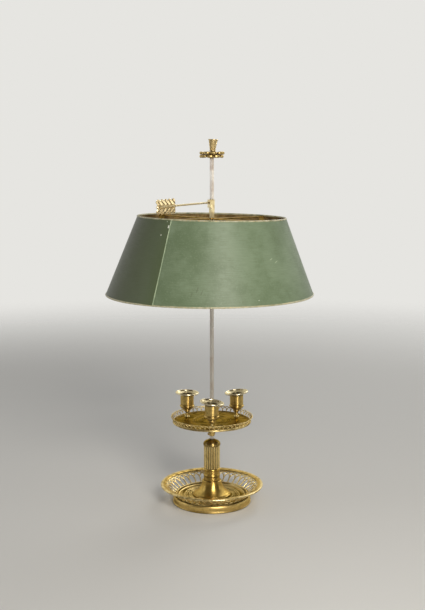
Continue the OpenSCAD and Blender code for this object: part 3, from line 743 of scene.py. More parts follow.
def paint_space(tree: Tree, lean_deg: float, pivot_z_mm: float) -> tuple[Socket, Socket, Socket]:
    """Give the leaning shade's own coordinates.

    Args:
        tree: The material's node tree.
        lean_deg: Lean of the shade on its spider.
        pivot_z_mm: Height of the point that it leans about.

    Returns:
        The place in the shade's frame, the same place laid out flat with the way round in x and
        the height in y, and the angle round the shade in radians.
    """
    turn = Matrix.Rotation(math.radians(-lean_deg), 3, "Y")
    pivot = Vector((0.0, 0.0, mm(pivot_z_mm)))
    place = add_node(
        tree, "ShaderNodeMapping",
        {"Location": pivot - turn @ pivot, "Rotation": (0.0, math.radians(-lean_deg), 0.0)},
        {"Vector": add_node(tree, "ShaderNodeTexCoord").outputs["Object"]},
    ).outputs[0]
    parts = add_node(tree, "ShaderNodeSeparateXYZ", links={0: place}).outputs
    angle = add_node(
        tree, "ShaderNodeMath", links={0: parts[1], 1: parts[0]}, operation="ARCTAN2",
    ).outputs[0]
    way_round = add_node(
        tree, "ShaderNodeMath", {1: mm(PAINT_RADIUS_MM)}, {0: angle}, operation="MULTIPLY",
    ).outputs[0]
    flat = add_node(tree, "ShaderNodeCombineXYZ", links={0: way_round, 1: parts[2]}).outputs[0]
    return place, flat, angle


def marks_mask(tree: Tree, flat: Socket, ragged: Socket, marks: Sequence[Mark]) -> Socket:
    """Draw worn places with ragged outlines.

    Args:
        tree: The material's node tree.
        flat: The paint laid out flat.
        ragged: Fine noise about 0.5 that frays the outlines.
        marks: The worn places.

    Returns:
        A mask that is 1 inside the places.
    """
    outline = 1.0 + MARK_RAGGED / 2
    mask = None
    for mark in marks:
        around = math.radians(mark.angle_deg) * mm(PAINT_RADIUS_MM)
        inside = add_node(
            tree, "ShaderNodeMapping",
            {"Location": (around, mm(mark.height_mm), 0.0),
             "Rotation": (0.0, 0.0, math.radians(mark.tilt_deg)),
             "Scale": (mm(mark.half_long_mm), mm(mark.half_tall_mm), 1.0)},
            {"Vector": flat}, vector_type="TEXTURE",
        ).outputs[0]
        distance = add_node(
            tree, "ShaderNodeVectorMath", links={0: inside}, operation="LENGTH",
        ).outputs["Value"]
        frayed = add_node(
            tree, "ShaderNodeMath", {1: MARK_RAGGED}, {0: ragged, 2: distance},
            operation="MULTIPLY_ADD",
        ).outputs[0]
        patch = add_node(
            tree, "ShaderNodeMapRange",
            {"From Min": outline + MARK_BLUR, "From Max": outline - MARK_BLUR},
            {"Value": frayed},
        ).outputs[0]
        mask = patch if mask is None else add_node(
            tree, "ShaderNodeMath", links={0: mask, 1: patch}, operation="MAXIMUM",
        ).outputs[0]
    return mask


# Sheet steel primed and painted by brush in an oil green, then rubbed to a satin. The eye finds
# faint clouds, fine brush lines that run round the shade, a browner coat left of the seam that
# is darkened further to the left as painted shade, chips down to the pale primer beside it, and
# scratches that only dull the gloss.
@dataclass(frozen=True)
class BrushedOilPaint:
    """Green oil paint on sheet steel."""

    name: str = "brushed_green_paint"
    green: str = "#627256"
    worn_green: str = "#79896f"
    deep_green: str = "#5c6b4d"
    # dark olive of the browner coat left of the seam, darkened as painted shade
    coat_and_shade_green: str = "#3a4120"
    primer: str = "#e4e6d6"
    scratched: str = "#97a389"
    scuffed: str = "#4b4a37"
    smooth: float = 0.36
    dull: float = 0.50
    cloud_mm: float = 70.0
    stroke_mm: float = 0.9  # real brush lines are 0.3 mm apart, too fine to show
    stroke_stretch: float = 0.035
    speck_mm: float = 2.4
    lean_deg: float = SHADE_LEAN_DEG
    pivot_z_mm: float = SHADE_PIVOT_Z_MM
    seam_deg: float = SEAM_DEG
    seam_blur_deg: float = 0.1
    coat_and_shade_full_deg: float = -166.0
    coat_and_shade_thins_deg: float = -150.0
    coat_and_shade_at_seam: float = 0.7
    scuff_share: float = 0.32
    stroke_depth_mm: float = 0.03
    chip_depth_mm: float = 0.15
    chips: tuple[Mark, ...] = (
        Mark(-121.3, 504.5, 1.5, 2.4),
        Mark(-126.0, 490.5, 0.8, 1.3, 30.0),
        Mark(-123.4, 512.6, 0.6, 0.5),
        Mark(-64.0, 392.0, 0.7, 0.5),
        Mark(62.0, 470.0, 1.6, 0.8, 20.0),
        Mark(140.0, 420.0, 1.0, 1.8),
    )
    scratches: tuple[Mark, ...] = (
        Mark(-50.4, 454.6, 3.6, 0.7, 22.0),
        Mark(-46.6, 449.8, 3.8, 0.7, 26.0),
        Mark(100.0, 440.0, 9.0, 0.6, -14.0),
    )
    scuffs: tuple[Mark, ...] = (
        Mark(-128.4, 513.4, 4.2, 0.8),
        Mark(-125.6, 511.8, 2.6, 0.7),
        Mark(-127.3, 509.6, 1.7, 0.9, 50.0),
        Mark(-97.0, 408.0, 0.9, 5.0, -16.0),
        Mark(-94.6, 404.0, 0.8, 4.0, -20.0),
        Mark(-99.8, 401.0, 0.8, 3.4, -12.0),
    )

    def material(self) -> bpy.types.Material:
        """Build the node material.

        Returns:
            The new material.
        """
        made, tree = empty_material(self.name)
        place, flat, angle = paint_space(tree, self.lean_deg, self.pivot_z_mm)
        drawn_out = add_node(
            tree, "ShaderNodeVectorMath", {1: (self.stroke_stretch, 1.0, 1.0)}, {0: flat},
            operation="MULTIPLY",
        ).outputs[0]
        clouds = add_node(
            tree, "ShaderNodeTexNoise",
            {"Scale": 1 / mm(self.cloud_mm), "Detail": 8.0, "Roughness": 0.64},
            {"Vector": place},
        ).outputs[0]
        strokes = add_node(
            tree, "ShaderNodeTexNoise",
            {"Scale": 1 / mm(self.stroke_mm), "Detail": 4.0, "Roughness": 0.7,
             "Distortion": 0.25},
            {"Vector": drawn_out},
        ).outputs[0]
        specks = add_node(
            tree, "ShaderNodeTexNoise",
            {"Scale": 1 / mm(self.speck_mm), "Detail": 2.0, "Roughness": 0.5},
            {"Vector": place},
        ).outputs[0]
        tone = add_node(
            tree, "ShaderNodeMapRange", {"From Min": 0.36, "From Max": 0.64},
            {"Value": clouds}, interpolation_type="SMOOTHSTEP",
        ).outputs[0]
        colour = add_node(
            tree, "ShaderNodeMix", {6: linear(self.green), 7: linear(self.worn_green)},
            {0: tone}, data_type="RGBA",
        ).outputs[2]
        streak = add_node(
            tree, "ShaderNodeMapRange",
            {"From Min": 0.4, "From Max": 0.75, "To Max": 0.75}, {"Value": strokes},
        ).outputs[0]
        speck = add_node(
            tree, "ShaderNodeMapRange",
            {"From Min": 0.55, "From Max": 0.75, "To Max": 0.5}, {"Value": specks},
        ).outputs[0]
        # the browner coat left of the seam, and the painted shade on that side
        beside = self.coat_and_shade_by_seam(tree, angle, clouds)
        scuff = marks_mask(tree, flat, specks, self.scuffs)
        faint = add_node(
            tree, "ShaderNodeMath", {1: self.scuff_share}, {0: scuff}, operation="MULTIPLY",
        ).outputs[0]
        scratch = marks_mask(tree, flat, specks, self.scratches)
        chip = marks_mask(tree, flat, specks, self.chips)
        for mask, coat in ((streak, self.deep_green), (speck, self.worn_green),
                           (beside, self.coat_and_shade_green), (faint, self.scuffed),
                           (scratch, self.scratched), (chip, self.primer)):
            colour = add_node(
                tree, "ShaderNodeMix", {7: linear(coat)}, {0: mask, 6: colour}, data_type="RGBA",
            ).outputs[2]
        roughness = add_node(
            tree, "ShaderNodeMapRange",
            {"From Min": 0.3, "From Max": 0.7, "To Min": self.smooth, "To Max": self.dull},
            {"Value": strokes},
        ).outputs[0]
        ridges = add_node(
            tree, "ShaderNodeBump", {"Strength": 1.0, "Distance": mm(self.stroke_depth_mm)},
            {"Height": strokes},
        ).outputs[0]
        pits = add_node(
            tree, "ShaderNodeBump", {"Strength": 1.0, "Distance": mm(self.stroke_depth_mm)},
            {"Height": specks, "Normal": ridges},
        ).outputs[0]
        normal = add_node(
            tree, "ShaderNodeBump", {"Strength": 1.0, "Distance": mm(self.chip_depth_mm)},
            {"Height": chip, "Normal": pits}, invert=True,
        ).outputs[0]
        shader = add_node(
            tree, "ShaderNodeBsdfPrincipled", {"Specular IOR Level": 0.42},
            {"Base Color": colour, "Roughness": roughness, "Normal": normal},
        )
        add_node(tree, "ShaderNodeOutputMaterial", links={"Surface": shader.outputs[0]})
        return made

    def coat_and_shade_by_seam(self, tree: Tree, angle: Socket, clouds: Socket) -> Socket:
        """Find the browner coat, with painted shade, that begins at the seam, deepens and fades
        out to its left.

        Args:
            tree: The material's node tree.
            angle: Angle round the shade in radians.
            clouds: Soft noise that makes the fading uneven.

        Returns:
            A mask that is high left of the seam.
        """
        seam = math.radians(self.seam_deg)
        left = add_node(
            tree, "ShaderNodeMapRange",
            {"From Min": seam + math.radians(self.seam_blur_deg), "From Max": seam},
            {"Value": angle},
        ).outputs[0]
        fading = add_node(
            tree, "ShaderNodeMapRange",
            {"From Min": -math.pi, "From Max": math.radians(self.coat_and_shade_full_deg)},
            {"Value": angle}, interpolation_type="SMOOTHSTEP",
        ).outputs[0]
        deeper = add_node(
            tree, "ShaderNodeMapRange",
            {"From Min": math.radians(self.coat_and_shade_thins_deg), "From Max": seam,
             "To Min": 1.0, "To Max": self.coat_and_shade_at_seam},
            {"Value": angle},
        ).outputs[0]
        cloudy = add_node(
            tree, "ShaderNodeMapRange",
            {"From Min": 0.35, "From Max": 0.65, "To Min": 0.8, "To Max": 1.0},
            {"Value": clouds},
        ).outputs[0]
        uneven = add_node(
            tree, "ShaderNodeMath", links={0: deeper, 1: cloudy}, operation="MULTIPLY",
        ).outputs[0]
        beside = add_node(
            tree, "ShaderNodeMath", links={0: left, 1: fading}, operation="MULTIPLY",
        ).outputs[0]
        return add_node(
            tree, "ShaderNodeMath", links={0: beside, 1: uneven}, operation="MULTIPLY",
        ).outputs[0]


# The sheet's edge, rolled over its wire and painted with the rest. Hands have rubbed the roll
# down to a pale grey-beige, so that it reads as a thin light line with darker breaks.
@dataclass(frozen=True)
class RubbedRoll:
    """Rubbed paint on the rolled edges."""

    name: str = "rubbed_roll_paint"
    rubbed: str = "#b8b396"
    paint: str = "#7e8466"
    bare: str = "#c9b176"
    wear_mm: float = 9.0
    fleck_mm: float = 1.6
    fleck_depth_mm: float = 0.06

    def material(self) -> bpy.types.Material:
        """Build the node material.

        Returns:
            The new material.
        """
        made, tree = empty_material(self.name)
        place = add_node(tree, "ShaderNodeTexCoord").outputs["Object"]
        wear = add_node(
            tree, "ShaderNodeTexNoise",
            {"Scale": 1 / mm(self.wear_mm), "Detail": 4.0, "Roughness": 0.65}, {"Vector": place},
        ).outputs[0]
        flecks = add_node(
            tree, "ShaderNodeTexNoise",
            {"Scale": 1 / mm(self.fleck_mm), "Detail": 2.0, "Roughness": 0.6}, {"Vector": place},
        ).outputs[0]
        worn = add_node(
            tree, "ShaderNodeMapRange", {"From Min": 0.36, "From Max": 0.56}, {"Value": wear},
        ).outputs[0]
        coat = add_node(
            tree, "ShaderNodeMix", {6: linear(self.paint), 7: linear(self.rubbed)}, {0: worn},
            data_type="RGBA",
        ).outputs[2]
        through = add_node(
            tree, "ShaderNodeMapRange", {"From Min": 0.56, "From Max": 0.66}, {"Value": flecks},
        ).outputs[0]
        colour = add_node(
            tree, "ShaderNodeMix", {7: linear(self.bare)}, {0: through, 6: coat},
            data_type="RGBA",
        ).outputs[2]
        roughness = add_node(
            tree, "ShaderNodeMapRange", {"To Min": 0.34, "To Max": 0.55}, {"Value": flecks},
        ).outputs[0]
        metal = add_node(
            tree, "ShaderNodeMath", {1: 0.8}, {0: through}, operation="MULTIPLY",
        ).outputs[0]
        normal = add_node(
            tree, "ShaderNodeBump", {"Strength": 1.0, "Distance": mm(self.fleck_depth_mm)},
            {"Height": flecks},
        ).outputs[0]
        shader = add_node(
            tree, "ShaderNodeBsdfPrincipled", None,
            {"Base Color": colour, "Roughness": roughness, "Metallic": metal, "Normal": normal},
        )
        add_node(tree, "ShaderNodeOutputMaterial", links={"Surface": shader.outputs[0]})
        return made


# The shade's inside: an old coat of cream and gold bronze paint, browned by candle smoke. It is
# warmer and duller than the outside, cloudy, and flecked with soot.
@dataclass(frozen=True)
class SmokedBronzePaint:
    """Smoke-browned bronze paint inside the shade."""

    name: str = "smoked_bronze_paint"
    cream: str = "#a88d57"
    bronze: str = "#674e23"
    soot: str = "#372a17"
    cloud_mm: float = 34.0
    flake_mm: float = 2.2
    flake_depth_mm: float = 0.06

    def material(self) -> bpy.types.Material:
        """Build the node material.

        Returns:
            The new material.
        """
        made, tree = empty_material(self.name)
        place = add_node(tree, "ShaderNodeTexCoord").outputs["Object"]
        clouds = add_node(
            tree, "ShaderNodeTexNoise",
            {"Scale": 1 / mm(self.cloud_mm), "Detail": 5.0, "Roughness": 0.6},
            {"Vector": place},
        ).outputs[0]
        flakes = add_node(
            tree, "ShaderNodeTexNoise",
            {"Scale": 1 / mm(self.flake_mm), "Detail": 3.0, "Roughness": 0.6},
            {"Vector": place},
        ).outputs[0]
        tone = add_node(
            tree, "ShaderNodeMapRange", {"From Min": 0.36, "From Max": 0.6},
            {"Value": clouds}, interpolation_type="SMOOTHSTEP",
        ).outputs[0]
        coat = add_node(
            tree, "ShaderNodeMix", {6: linear(self.cream), 7: linear(self.bronze)},
            {0: tone}, data_type="RGBA",
        ).outputs[2]
        smoke = add_node(
            tree, "ShaderNodeMapRange", {"From Min": 0.42, "From Max": 0.7, "To Max": 0.7},
            {"Value": flakes},
        ).outputs[0]
        smoked = add_node(
            tree, "ShaderNodeMix", {7: linear(self.soot)}, {0: smoke, 6: coat}, data_type="RGBA",
        ).outputs[2]
        normal = add_node(
            tree, "ShaderNodeBump", {"Strength": 1.0, "Distance": mm(self.flake_depth_mm)},
            {"Height": flakes},
        ).outputs[0]
        roughness = add_node(
            tree, "ShaderNodeMapRange", {"To Min": 0.42, "To Max": 0.7}, {"Value": clouds},
        ).outputs[0]
        shader = add_node(
            tree, "ShaderNodeBsdfPrincipled", {"Metallic": 0.35},
            {"Base Color": smoked, "Roughness": roughness, "Normal": normal},
        )
        add_node(tree, "ShaderNodeOutputMaterial", links={"Surface": shader.outputs[0]})
        return made


class Slot(Enum):
    """The record's material slots named for the new pieces; nothing here reads them."""

    GILT = "gilt_brass"
    BRONZE = "aged_bronze"
    STEEL = "rod_steel"
    PAINT = "shade_paint"


Finish = AgedMetal | BrushedOilPaint | RubbedRoll | SmokedBronzePaint


@dataclass
class Dresser:
    """Puts finishes on pieces, and keeps each finish's material for the next piece."""

    made: dict[str, bpy.types.Material] = field(default_factory=dict)

    def material(self, finish: Finish) -> bpy.types.Material:
        """Return a finish's material, built the first time it is asked for.

        Args:
            finish: The finish, which is known by its name.

        Returns:
            The material.
        """
        if finish.name not in self.made:
            self.made[finish.name] = finish.material()
        return self.made[finish.name]

    def dress(self, thing: bpy.types.Object, *finishes: Finish) -> None:
        """Give an object its finishes.

        Args:
            thing: The piece or the frame's own node.
            finishes: One finish for each material number of its faces.
        """
        if thing.data.materials:  # clearing an empty list would still renumber the faces
            thing.data.materials.clear()
        for finish in finishes:
            thing.data.materials.append(self.material(finish))
        LOG.info("dressed %s in %s", thing.name, ", ".join(f.name for f in finishes))


def set_in(thing: bpy.types.Object, body: str, slot: Slot, *nodes: str) -> bpy.types.Object:
    """Make a piece ride on its body and stand for the frame's nodes.

    Args:
        thing: The new piece.
        body: The body that carries it.
        slot: The record's material slot that it takes. It is not used.
        nodes: The frame's nodes that it replaces.

    Returns:
        The piece.
    """
    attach(thing, body)
    if nodes:
        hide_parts(*nodes)
    LOG.info("built %s, which stands for %s", thing.name, ", ".join(nodes) or "nothing")
    return thing


class Part(ABC):
    """One piece of the lamp that is drawn here and takes one finish."""

    finish: Finish

    @abstractmethod
    def build(self) -> bpy.types.Object:
        """Build the piece and set it in on its body."""

    def dress(self, dresser: Dresser) -> None:
        """Build the piece and give it its finish."""
        dresser.dress(self.build(), self.finish)


# ---- pierced galleries --------------------------------------------------------------------


class GalleryTop(Enum):
    """How a gallery ends at its top."""

    RAILED = "railed"
    SCALLOPED = "scalloped"


@dataclass
class ArcadeGallery(Part):
    """A flared wall of round arches that cross each other, cast open and chased."""

    piece: str
    node: str
    body: str
    foot_r: float
    flare: float
    height: float
    wall: float
    bays: int
    rib: float
    rise: float
    rail: float
    top: GalleryTop
    finish: CastGilt
    foot_rail: float = 1.0
    weave: float = 0.22  # each arch leans out of the wall on one side and into it on the other
    rib_depth_share: float = 0.94  # of the wall
    rib_squareness: float = 0.62
    rail_depth_share: float = 0.98  # of the wall
    rail_squareness: float = 0.45
    rail_reach: float = 1.25  # of the top rail's height, so that it takes in the arches' crowns
    leg_foot_share: float = 0.4  # of the foot rail's height, where the legs start in it
    arch_steps: int = 22
    leg_steps: int = 3
    section_steps: int = 10
    rail_steps: int = 180
    rail_section_steps: int = 12

    def slope(self) -> float:
        """Angle of the wall from the floor, in radians."""
        return math.atan2(self.height, self.flare)

    def slant(self) -> float:
        """Height of the wall along its own slope."""
        return self.height / math.sin(self.slope())

    def on_wall(self, bay: float, up: float, across: float, out: float, foot_z: float) -> Vector:
        """Find a point on the wall.

        Args:
            bay: Number of the bay line that the point is drawn from.
            up: Distance up the slope from the wall's foot.
            across: Distance across from the bay line, on the unrolled wall.
            out: Distance outwards from the middle of the wall's thickness.
            foot_z: Height of the wall's foot.

        Returns:
            The point in the lamp's frame.
        """
        slope = self.slope()
        reach = self.foot_r / math.cos(slope)
        far = math.hypot(reach + up, across)
        turn = math.degrees(math.atan2(across, reach + up) / math.cos(slope))
        away = self.wall / 2 + out
        radius = far * math.cos(slope) + away * math.sin(slope)
        height = (far - reach) * math.sin(slope) - away * math.cos(slope)
        return polar(radius, bay * 360 / self.bays + turn, foot_z + height)

    def outward(self, bay: float) -> Vector:
        """Find the direction square to the wall at a bay line.

        Args:
            bay: Number of the bay line.

        Returns:
            A direction of length 1.
        """
        slope = self.slope()
        flat = polar(math.sin(slope), bay * 360 / self.bays, 0.0)
        return flat - Vector((0.0, 0.0, math.cos(slope)))

    def build(self) -> bpy.types.Object:
        """Build the gallery from its ribs and rails.

        Returns:
            The piece, set in on its body.
        """
        foot_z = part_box(self.node)[0].z * MM_PER_M
        slope = self.slope()
        reach = self.foot_r / math.cos(slope)
        chord = 2 * math.sin(math.radians(360 / self.bays * math.cos(slope)) / 2)
        crown = self.slant() - self.rail - self.rise * self.rib / 2
        span = chord * (reach + crown) / (1 + chord * self.rise)
        spring = span / chord - reach
        draft = Draft()
        section = soft_section(self.rib, self.wall * self.rib_depth_share, self.section_steps,
                               self.rib_squareness)
        leg_foot = self.foot_rail * self.leg_foot_share
        for bay in range(self.bays):
            path, outs = [], []
            for step in range(self.arch_steps + 1):
                angle = math.pi * step / self.arch_steps
                up = spring + self.rise * span * math.sin(angle)
                weave = self.weave * math.cos(angle)
                path.append(self.on_wall(bay, up, span * math.cos(angle), weave, foot_z))
                outs.append(self.outward(bay + math.cos(angle)))
            draft.sweep(path, outs, section)
            leg = []
            for step in range(self.leg_steps + 1):
                up = leg_foot + (spring - leg_foot) * step / self.leg_steps
                leg.append(self.on_wall(bay, up, 0.0, 0.0, foot_z))
            draft.sweep(leg, [self.outward(bay)] * len(leg), section)
        self.add_rail(draft, 0.0, self.foot_rail, foot_z)
        if self.top is GalleryTop.RAILED:
            low = self.slant() - self.rail * self.rail_reach
            self.add_rail(draft, low, self.slant(), foot_z)
        return set_in(draft.piece(self.piece), self.body, Slot.GILT, self.node)

    def add_rail(self, draft: Draft, low: float, high: float, foot_z: float) -> None:
        """Add a rail round the wall.

        Args:
            draft: The mesh being drawn.
            low: Lower edge of the rail, up the slope.
            high: Upper edge of the rail, up the slope.
            foot_z: Height of the wall's foot.
        """
        middle = (low + high) / 2
        outline = soft_section(high - low, self.wall * self.rail_depth_share,
                               self.rail_section_steps, self.rail_squareness)
        rows = []
        for step in range(self.rail_steps):
            bay = self.bays * step / self.rail_steps
            rows.append([self.on_wall(bay, middle + p.x, 0.0, p.y, foot_z) for p in outline])
        draft.skin(rows, round_rows=True, round_points=True)


GALLERIES = (
    ArcadeGallery(
        "base_arcade", "base_gallery", "stand", foot_r=63.0, flare=20.5, height=16.5, wall=2.2,
        bays=40, rib=2.4, rise=1.12, rail=1.2, top=GalleryTop.RAILED, foot_rail=1.2,
        finish=CastGilt(name="cast_gilt_base_gallery", bright="#f2dda2", tarnished="#a88b4a",
                        hollow_mm=3.5, grime_and_shade_share=0.6, rub_share=0.95, edge_mm=0.7),
    ),
    ArcadeGallery(
        "tray_arcade", "tray_gallery", "tray", foot_r=67.5, flare=5.2, height=9.0, wall=1.2,
        bays=54, rib=1.4, rise=1.0, rail=0.0, top=GalleryTop.SCALLOPED, weave=0.12,
        finish=CastGilt(name="cast_gilt_tray_gallery", bright="#f0d898", tarnished="#7d6534",
                        tarnish_share=0.75, hollow_mm=4.0, grime_and_shade_share=0.9, rub_share=0.95,
                        blotch_mm=5.0),
    ),
)


# ---- shade --------------------------------------------------------------------------------


class ShadeEdge(Enum):
    """The shade's two edges, by the frame's wire in each."""

    TOP = "shade_top_wire"
    BOTTOM = "shade_bottom_wire"


class SheetFace(IntEnum):
    """The faces of the shade's sheet, by the number of the paint on each."""

    OUTSIDE = 0
    INSIDE = 1
    LAP_EDGE = 2


@dataclass(frozen=True)
class DentWave:
    """One wave of the dents that hand rolling left round the sheet."""

    crests: int
    weight: float
    turn: float = 0.0  # in radians, at the top edge
    twist: float = 0.0  # in radians, from the top edge to the bottom edge


@dataclass
class ToleShade:
    """The shade: one sheet rolled to a cone, lapped at the seam, with rolled edges."""

    outside: BrushedOilPaint = BrushedOilPaint()
    inside: SmokedBronzePaint = SmokedBronzePaint()
    roll: RubbedRoll = RubbedRoll()
    lap_edge: RubbedRoll = RubbedRoll(name="rubbed_seam_paint", rubbed="#98a788",
                                      paint="#86967a", bare="#aab698")
    top_r: float = 130.0
    bottom_r: float = 182.5
    height: float = 134.0
    sheet: float = 0.9
    wire_r: float = 1.5
    seam_deg: float = SEAM_DEG
    seam_w: float = 9.0
    ramp_w: float = 30.0
    bevel_w: float = 1.3
    bevel_share: float = 0.75  # of the sheet's thickness, worn off the lap's edge
    bevel_middle: float = 0.4  # of the bevel's width, the place of its one inner row of points
    lap_gap: float = 0.04
    edge_gap: float = 0.6  # from the cone's true edges to the sheet's own
    dent_step: float = 0.05
    dents: tuple[DentWave, ...] = (
        DentWave(3, 1.0, 0.6), DentWave(5, 0.7, -1.1, 2.2), DentWave(9, 0.5, 0.0, 4.0))
    roll_share: float = 0.97  # of the wire's size
    roll_wobble: float = 0.05
    roll_waves: int = 7
    lean_deg: float = SHADE_LEAN_DEG
    top_z: float = 515.5
    pivot_z: float = SHADE_PIVOT_Z_MM
    columns: int = 320
    rows: int = 30
    roll_steps: int = 288
    roll_section_steps: int = 12

    def flare(self) -> float:
        """How much the radius grows for each millimetre down."""
        return (self.bottom_r - self.top_r) / self.height

    def leaned(self, point: Vector) -> Vector:
        """Lean a point with the shade about the spider's middle."""
        pivot = Vector((0.0, 0.0, self.pivot_z))
        return pivot + Matrix.Rotation(math.radians(self.lean_deg), 3, "Y") @ (point - pivot)

    def drop_to(self, target_z: float, angle_deg: float) -> float:
        """Find how far down the cone a level plane is met.

        Args:
            target_z: Height of the plane.
            angle_deg: Angle round the cone's own axis.

        Returns:
            Distance down the cone's axis from the top edge.
        """
        lean = math.radians(self.lean_deg)
        sideways = math.cos(math.radians(angle_deg)) * math.sin(lean)
        above = (self.top_z - self.pivot_z) * math.cos(lean)
        return ((self.pivot_z - target_z - self.top_r * sideways + above)
                / (self.flare() * sideways + math.cos(lean)))

    def dent(self, angle_deg: float, share: float) -> float:
        """Say how far hand rolling left the sheet inside its true cone.

        Args:
            angle_deg: Angle round the shade.
            share: 0 at the top edge and 1 at the bottom edge.

        Returns:
            A distance inwards, never negative.
        """
        angle = math.radians(angle_deg)
        deepest = sum(dent.weight for dent in self.dents)
        waves = sum(dent.weight * math.sin(dent.crests * angle + dent.turn + dent.twist * share)
                    for dent in self.dents)
        held = math.sin(math.pi * min(1.0, max(0.0, share)))  # the wired edges hold it round
        return self.dent_step * (deepest + waves) * held

    def build_sheet(self) -> bpy.types.Object:
        """Build the sheet as one strip whose end laps over its beginning.

        Returns:
            The sheet, with a finish for each SheetFace.
        """
        bottom_z = self.top_z - self.height
        mean_r = (self.top_r + self.bottom_r) / 2
        lap = math.degrees(self.seam_w / mean_r)
        ramp = math.degrees(self.ramp_w / mean_r)
        bevel = math.degrees(self.bevel_w / mean_r)
        start, end = self.seam_deg - lap, self.seam_deg + 360.0
        step = (end - bevel - start) / self.columns
        angles = [start + step * i for i in range(self.columns + 1)]
        angles += [end - bevel * self.bevel_middle, end]
        outer, inner = [], []
        for angle in angles:
            over = smooth_step(angle, end - lap - ramp, end - lap) * (self.sheet + self.lap_gap)
            falls = self.sheet * self.bevel_share * smooth_step(angle, end - bevel, end)
            full = self.drop_to(bottom_z + self.edge_gap, angle)
            outside, inside = [], []
            for row in range(self.rows + 1):
                share = row / self.rows
                down = self.edge_gap + (full - self.edge_gap) * share
                radius = self.top_r + down * self.flare() - self.dent(angle, share) + over
                height = self.top_z - down
                outside.append(self.leaned(polar(radius - falls, angle, height)))
                inside.append(self.leaned(polar(radius - self.sheet, angle, height)))
            outer.append(outside)
            inner.append(inside)
        draft = Draft()
        worn_from = len(angles) - 3
        for rows, face in (
            (outer[:worn_from + 1], SheetFace.OUTSIDE),
            (outer[worn_from:], SheetFace.LAP_EDGE),
            ([row[::-1] for row in inner], SheetFace.INSIDE),
            ([outer[-1], inner[-1]], SheetFace.LAP_EDGE),
            ([inner[0], outer[0]], SheetFace.INSIDE),
            ([[row[0] for row in inner], [row[0] for row in outer]], SheetFace.LAP_EDGE),
            ([[row[-1] for row in outer], [row[-1] for row in inner]], SheetFace.LAP_EDGE),
        ):
            draft.skin(rows, finish=face)
        sheet = draft.piece("shade_painted_sheet", crease_deg=30.0)
        return set_in(sheet, "shade", Slot.PAINT, "shade_sheet")

    def build_edge(self, edge: ShadeEdge) -> bpy.types.Object:
        """Build a rolled edge: the sheet wrapped round its wire.

        Args:
            edge: Which edge it is.

        Returns:
            The rolled edge.
        """
        low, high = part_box(edge.value)
        middle = (low + high) / 2 * MM_PER_M
        if edge is ShadeEdge.TOP:
            radius = self.top_r - self.sheet / 2
        else:
            radius = (high.x - low.x) / 2 * MM_PER_M - self.wire_r
        path = []
        for step in range(self.roll_steps):
            angle = 360 * step / self.roll_steps
            wave = math.sin(math.radians(self.roll_waves * angle))
            wobble = self.roll_wobble * (wave - 1)
            if edge is ShadeEdge.TOP:
                path.append(self.leaned(polar(radius + wobble, angle, self.top_z)))
            else:
                path.append(polar(radius + wobble, angle, middle.z) + Vector((middle.x, 0.0, 0.0)))
        size = 2 * self.wire_r * self.roll_share
        draft = Draft()
        draft.sweep(path, [Vector((0.0, 0.0, 1.0))] * len(path),
                    soft_section(size, size, self.roll_section_steps, 1.0), closed=True)
        rolled = draft.piece(edge.value.replace("wire", "roll"))
        return set_in(rolled, "shade", Slot.GILT, edge.value)

    def dress(self, dresser: Dresser) -> None:
        """Build the sheet and both rolled edges, and give them their paint.

        Args:
            dresser: Puts the finishes on.
        """
        dresser.dress(self.build_sheet(), self.outside, self.inside, self.lap_edge)
        for edge in ShadeEdge:
            dresser.dress(self.build_edge(edge), self.roll)


# ---- finial -------------------------------------------------------------------------------


class Tier(Enum):
    """The rosette's two tiers, by the way that their leaves face."""

    UPPER = 1.0
    LOWER = -1.0


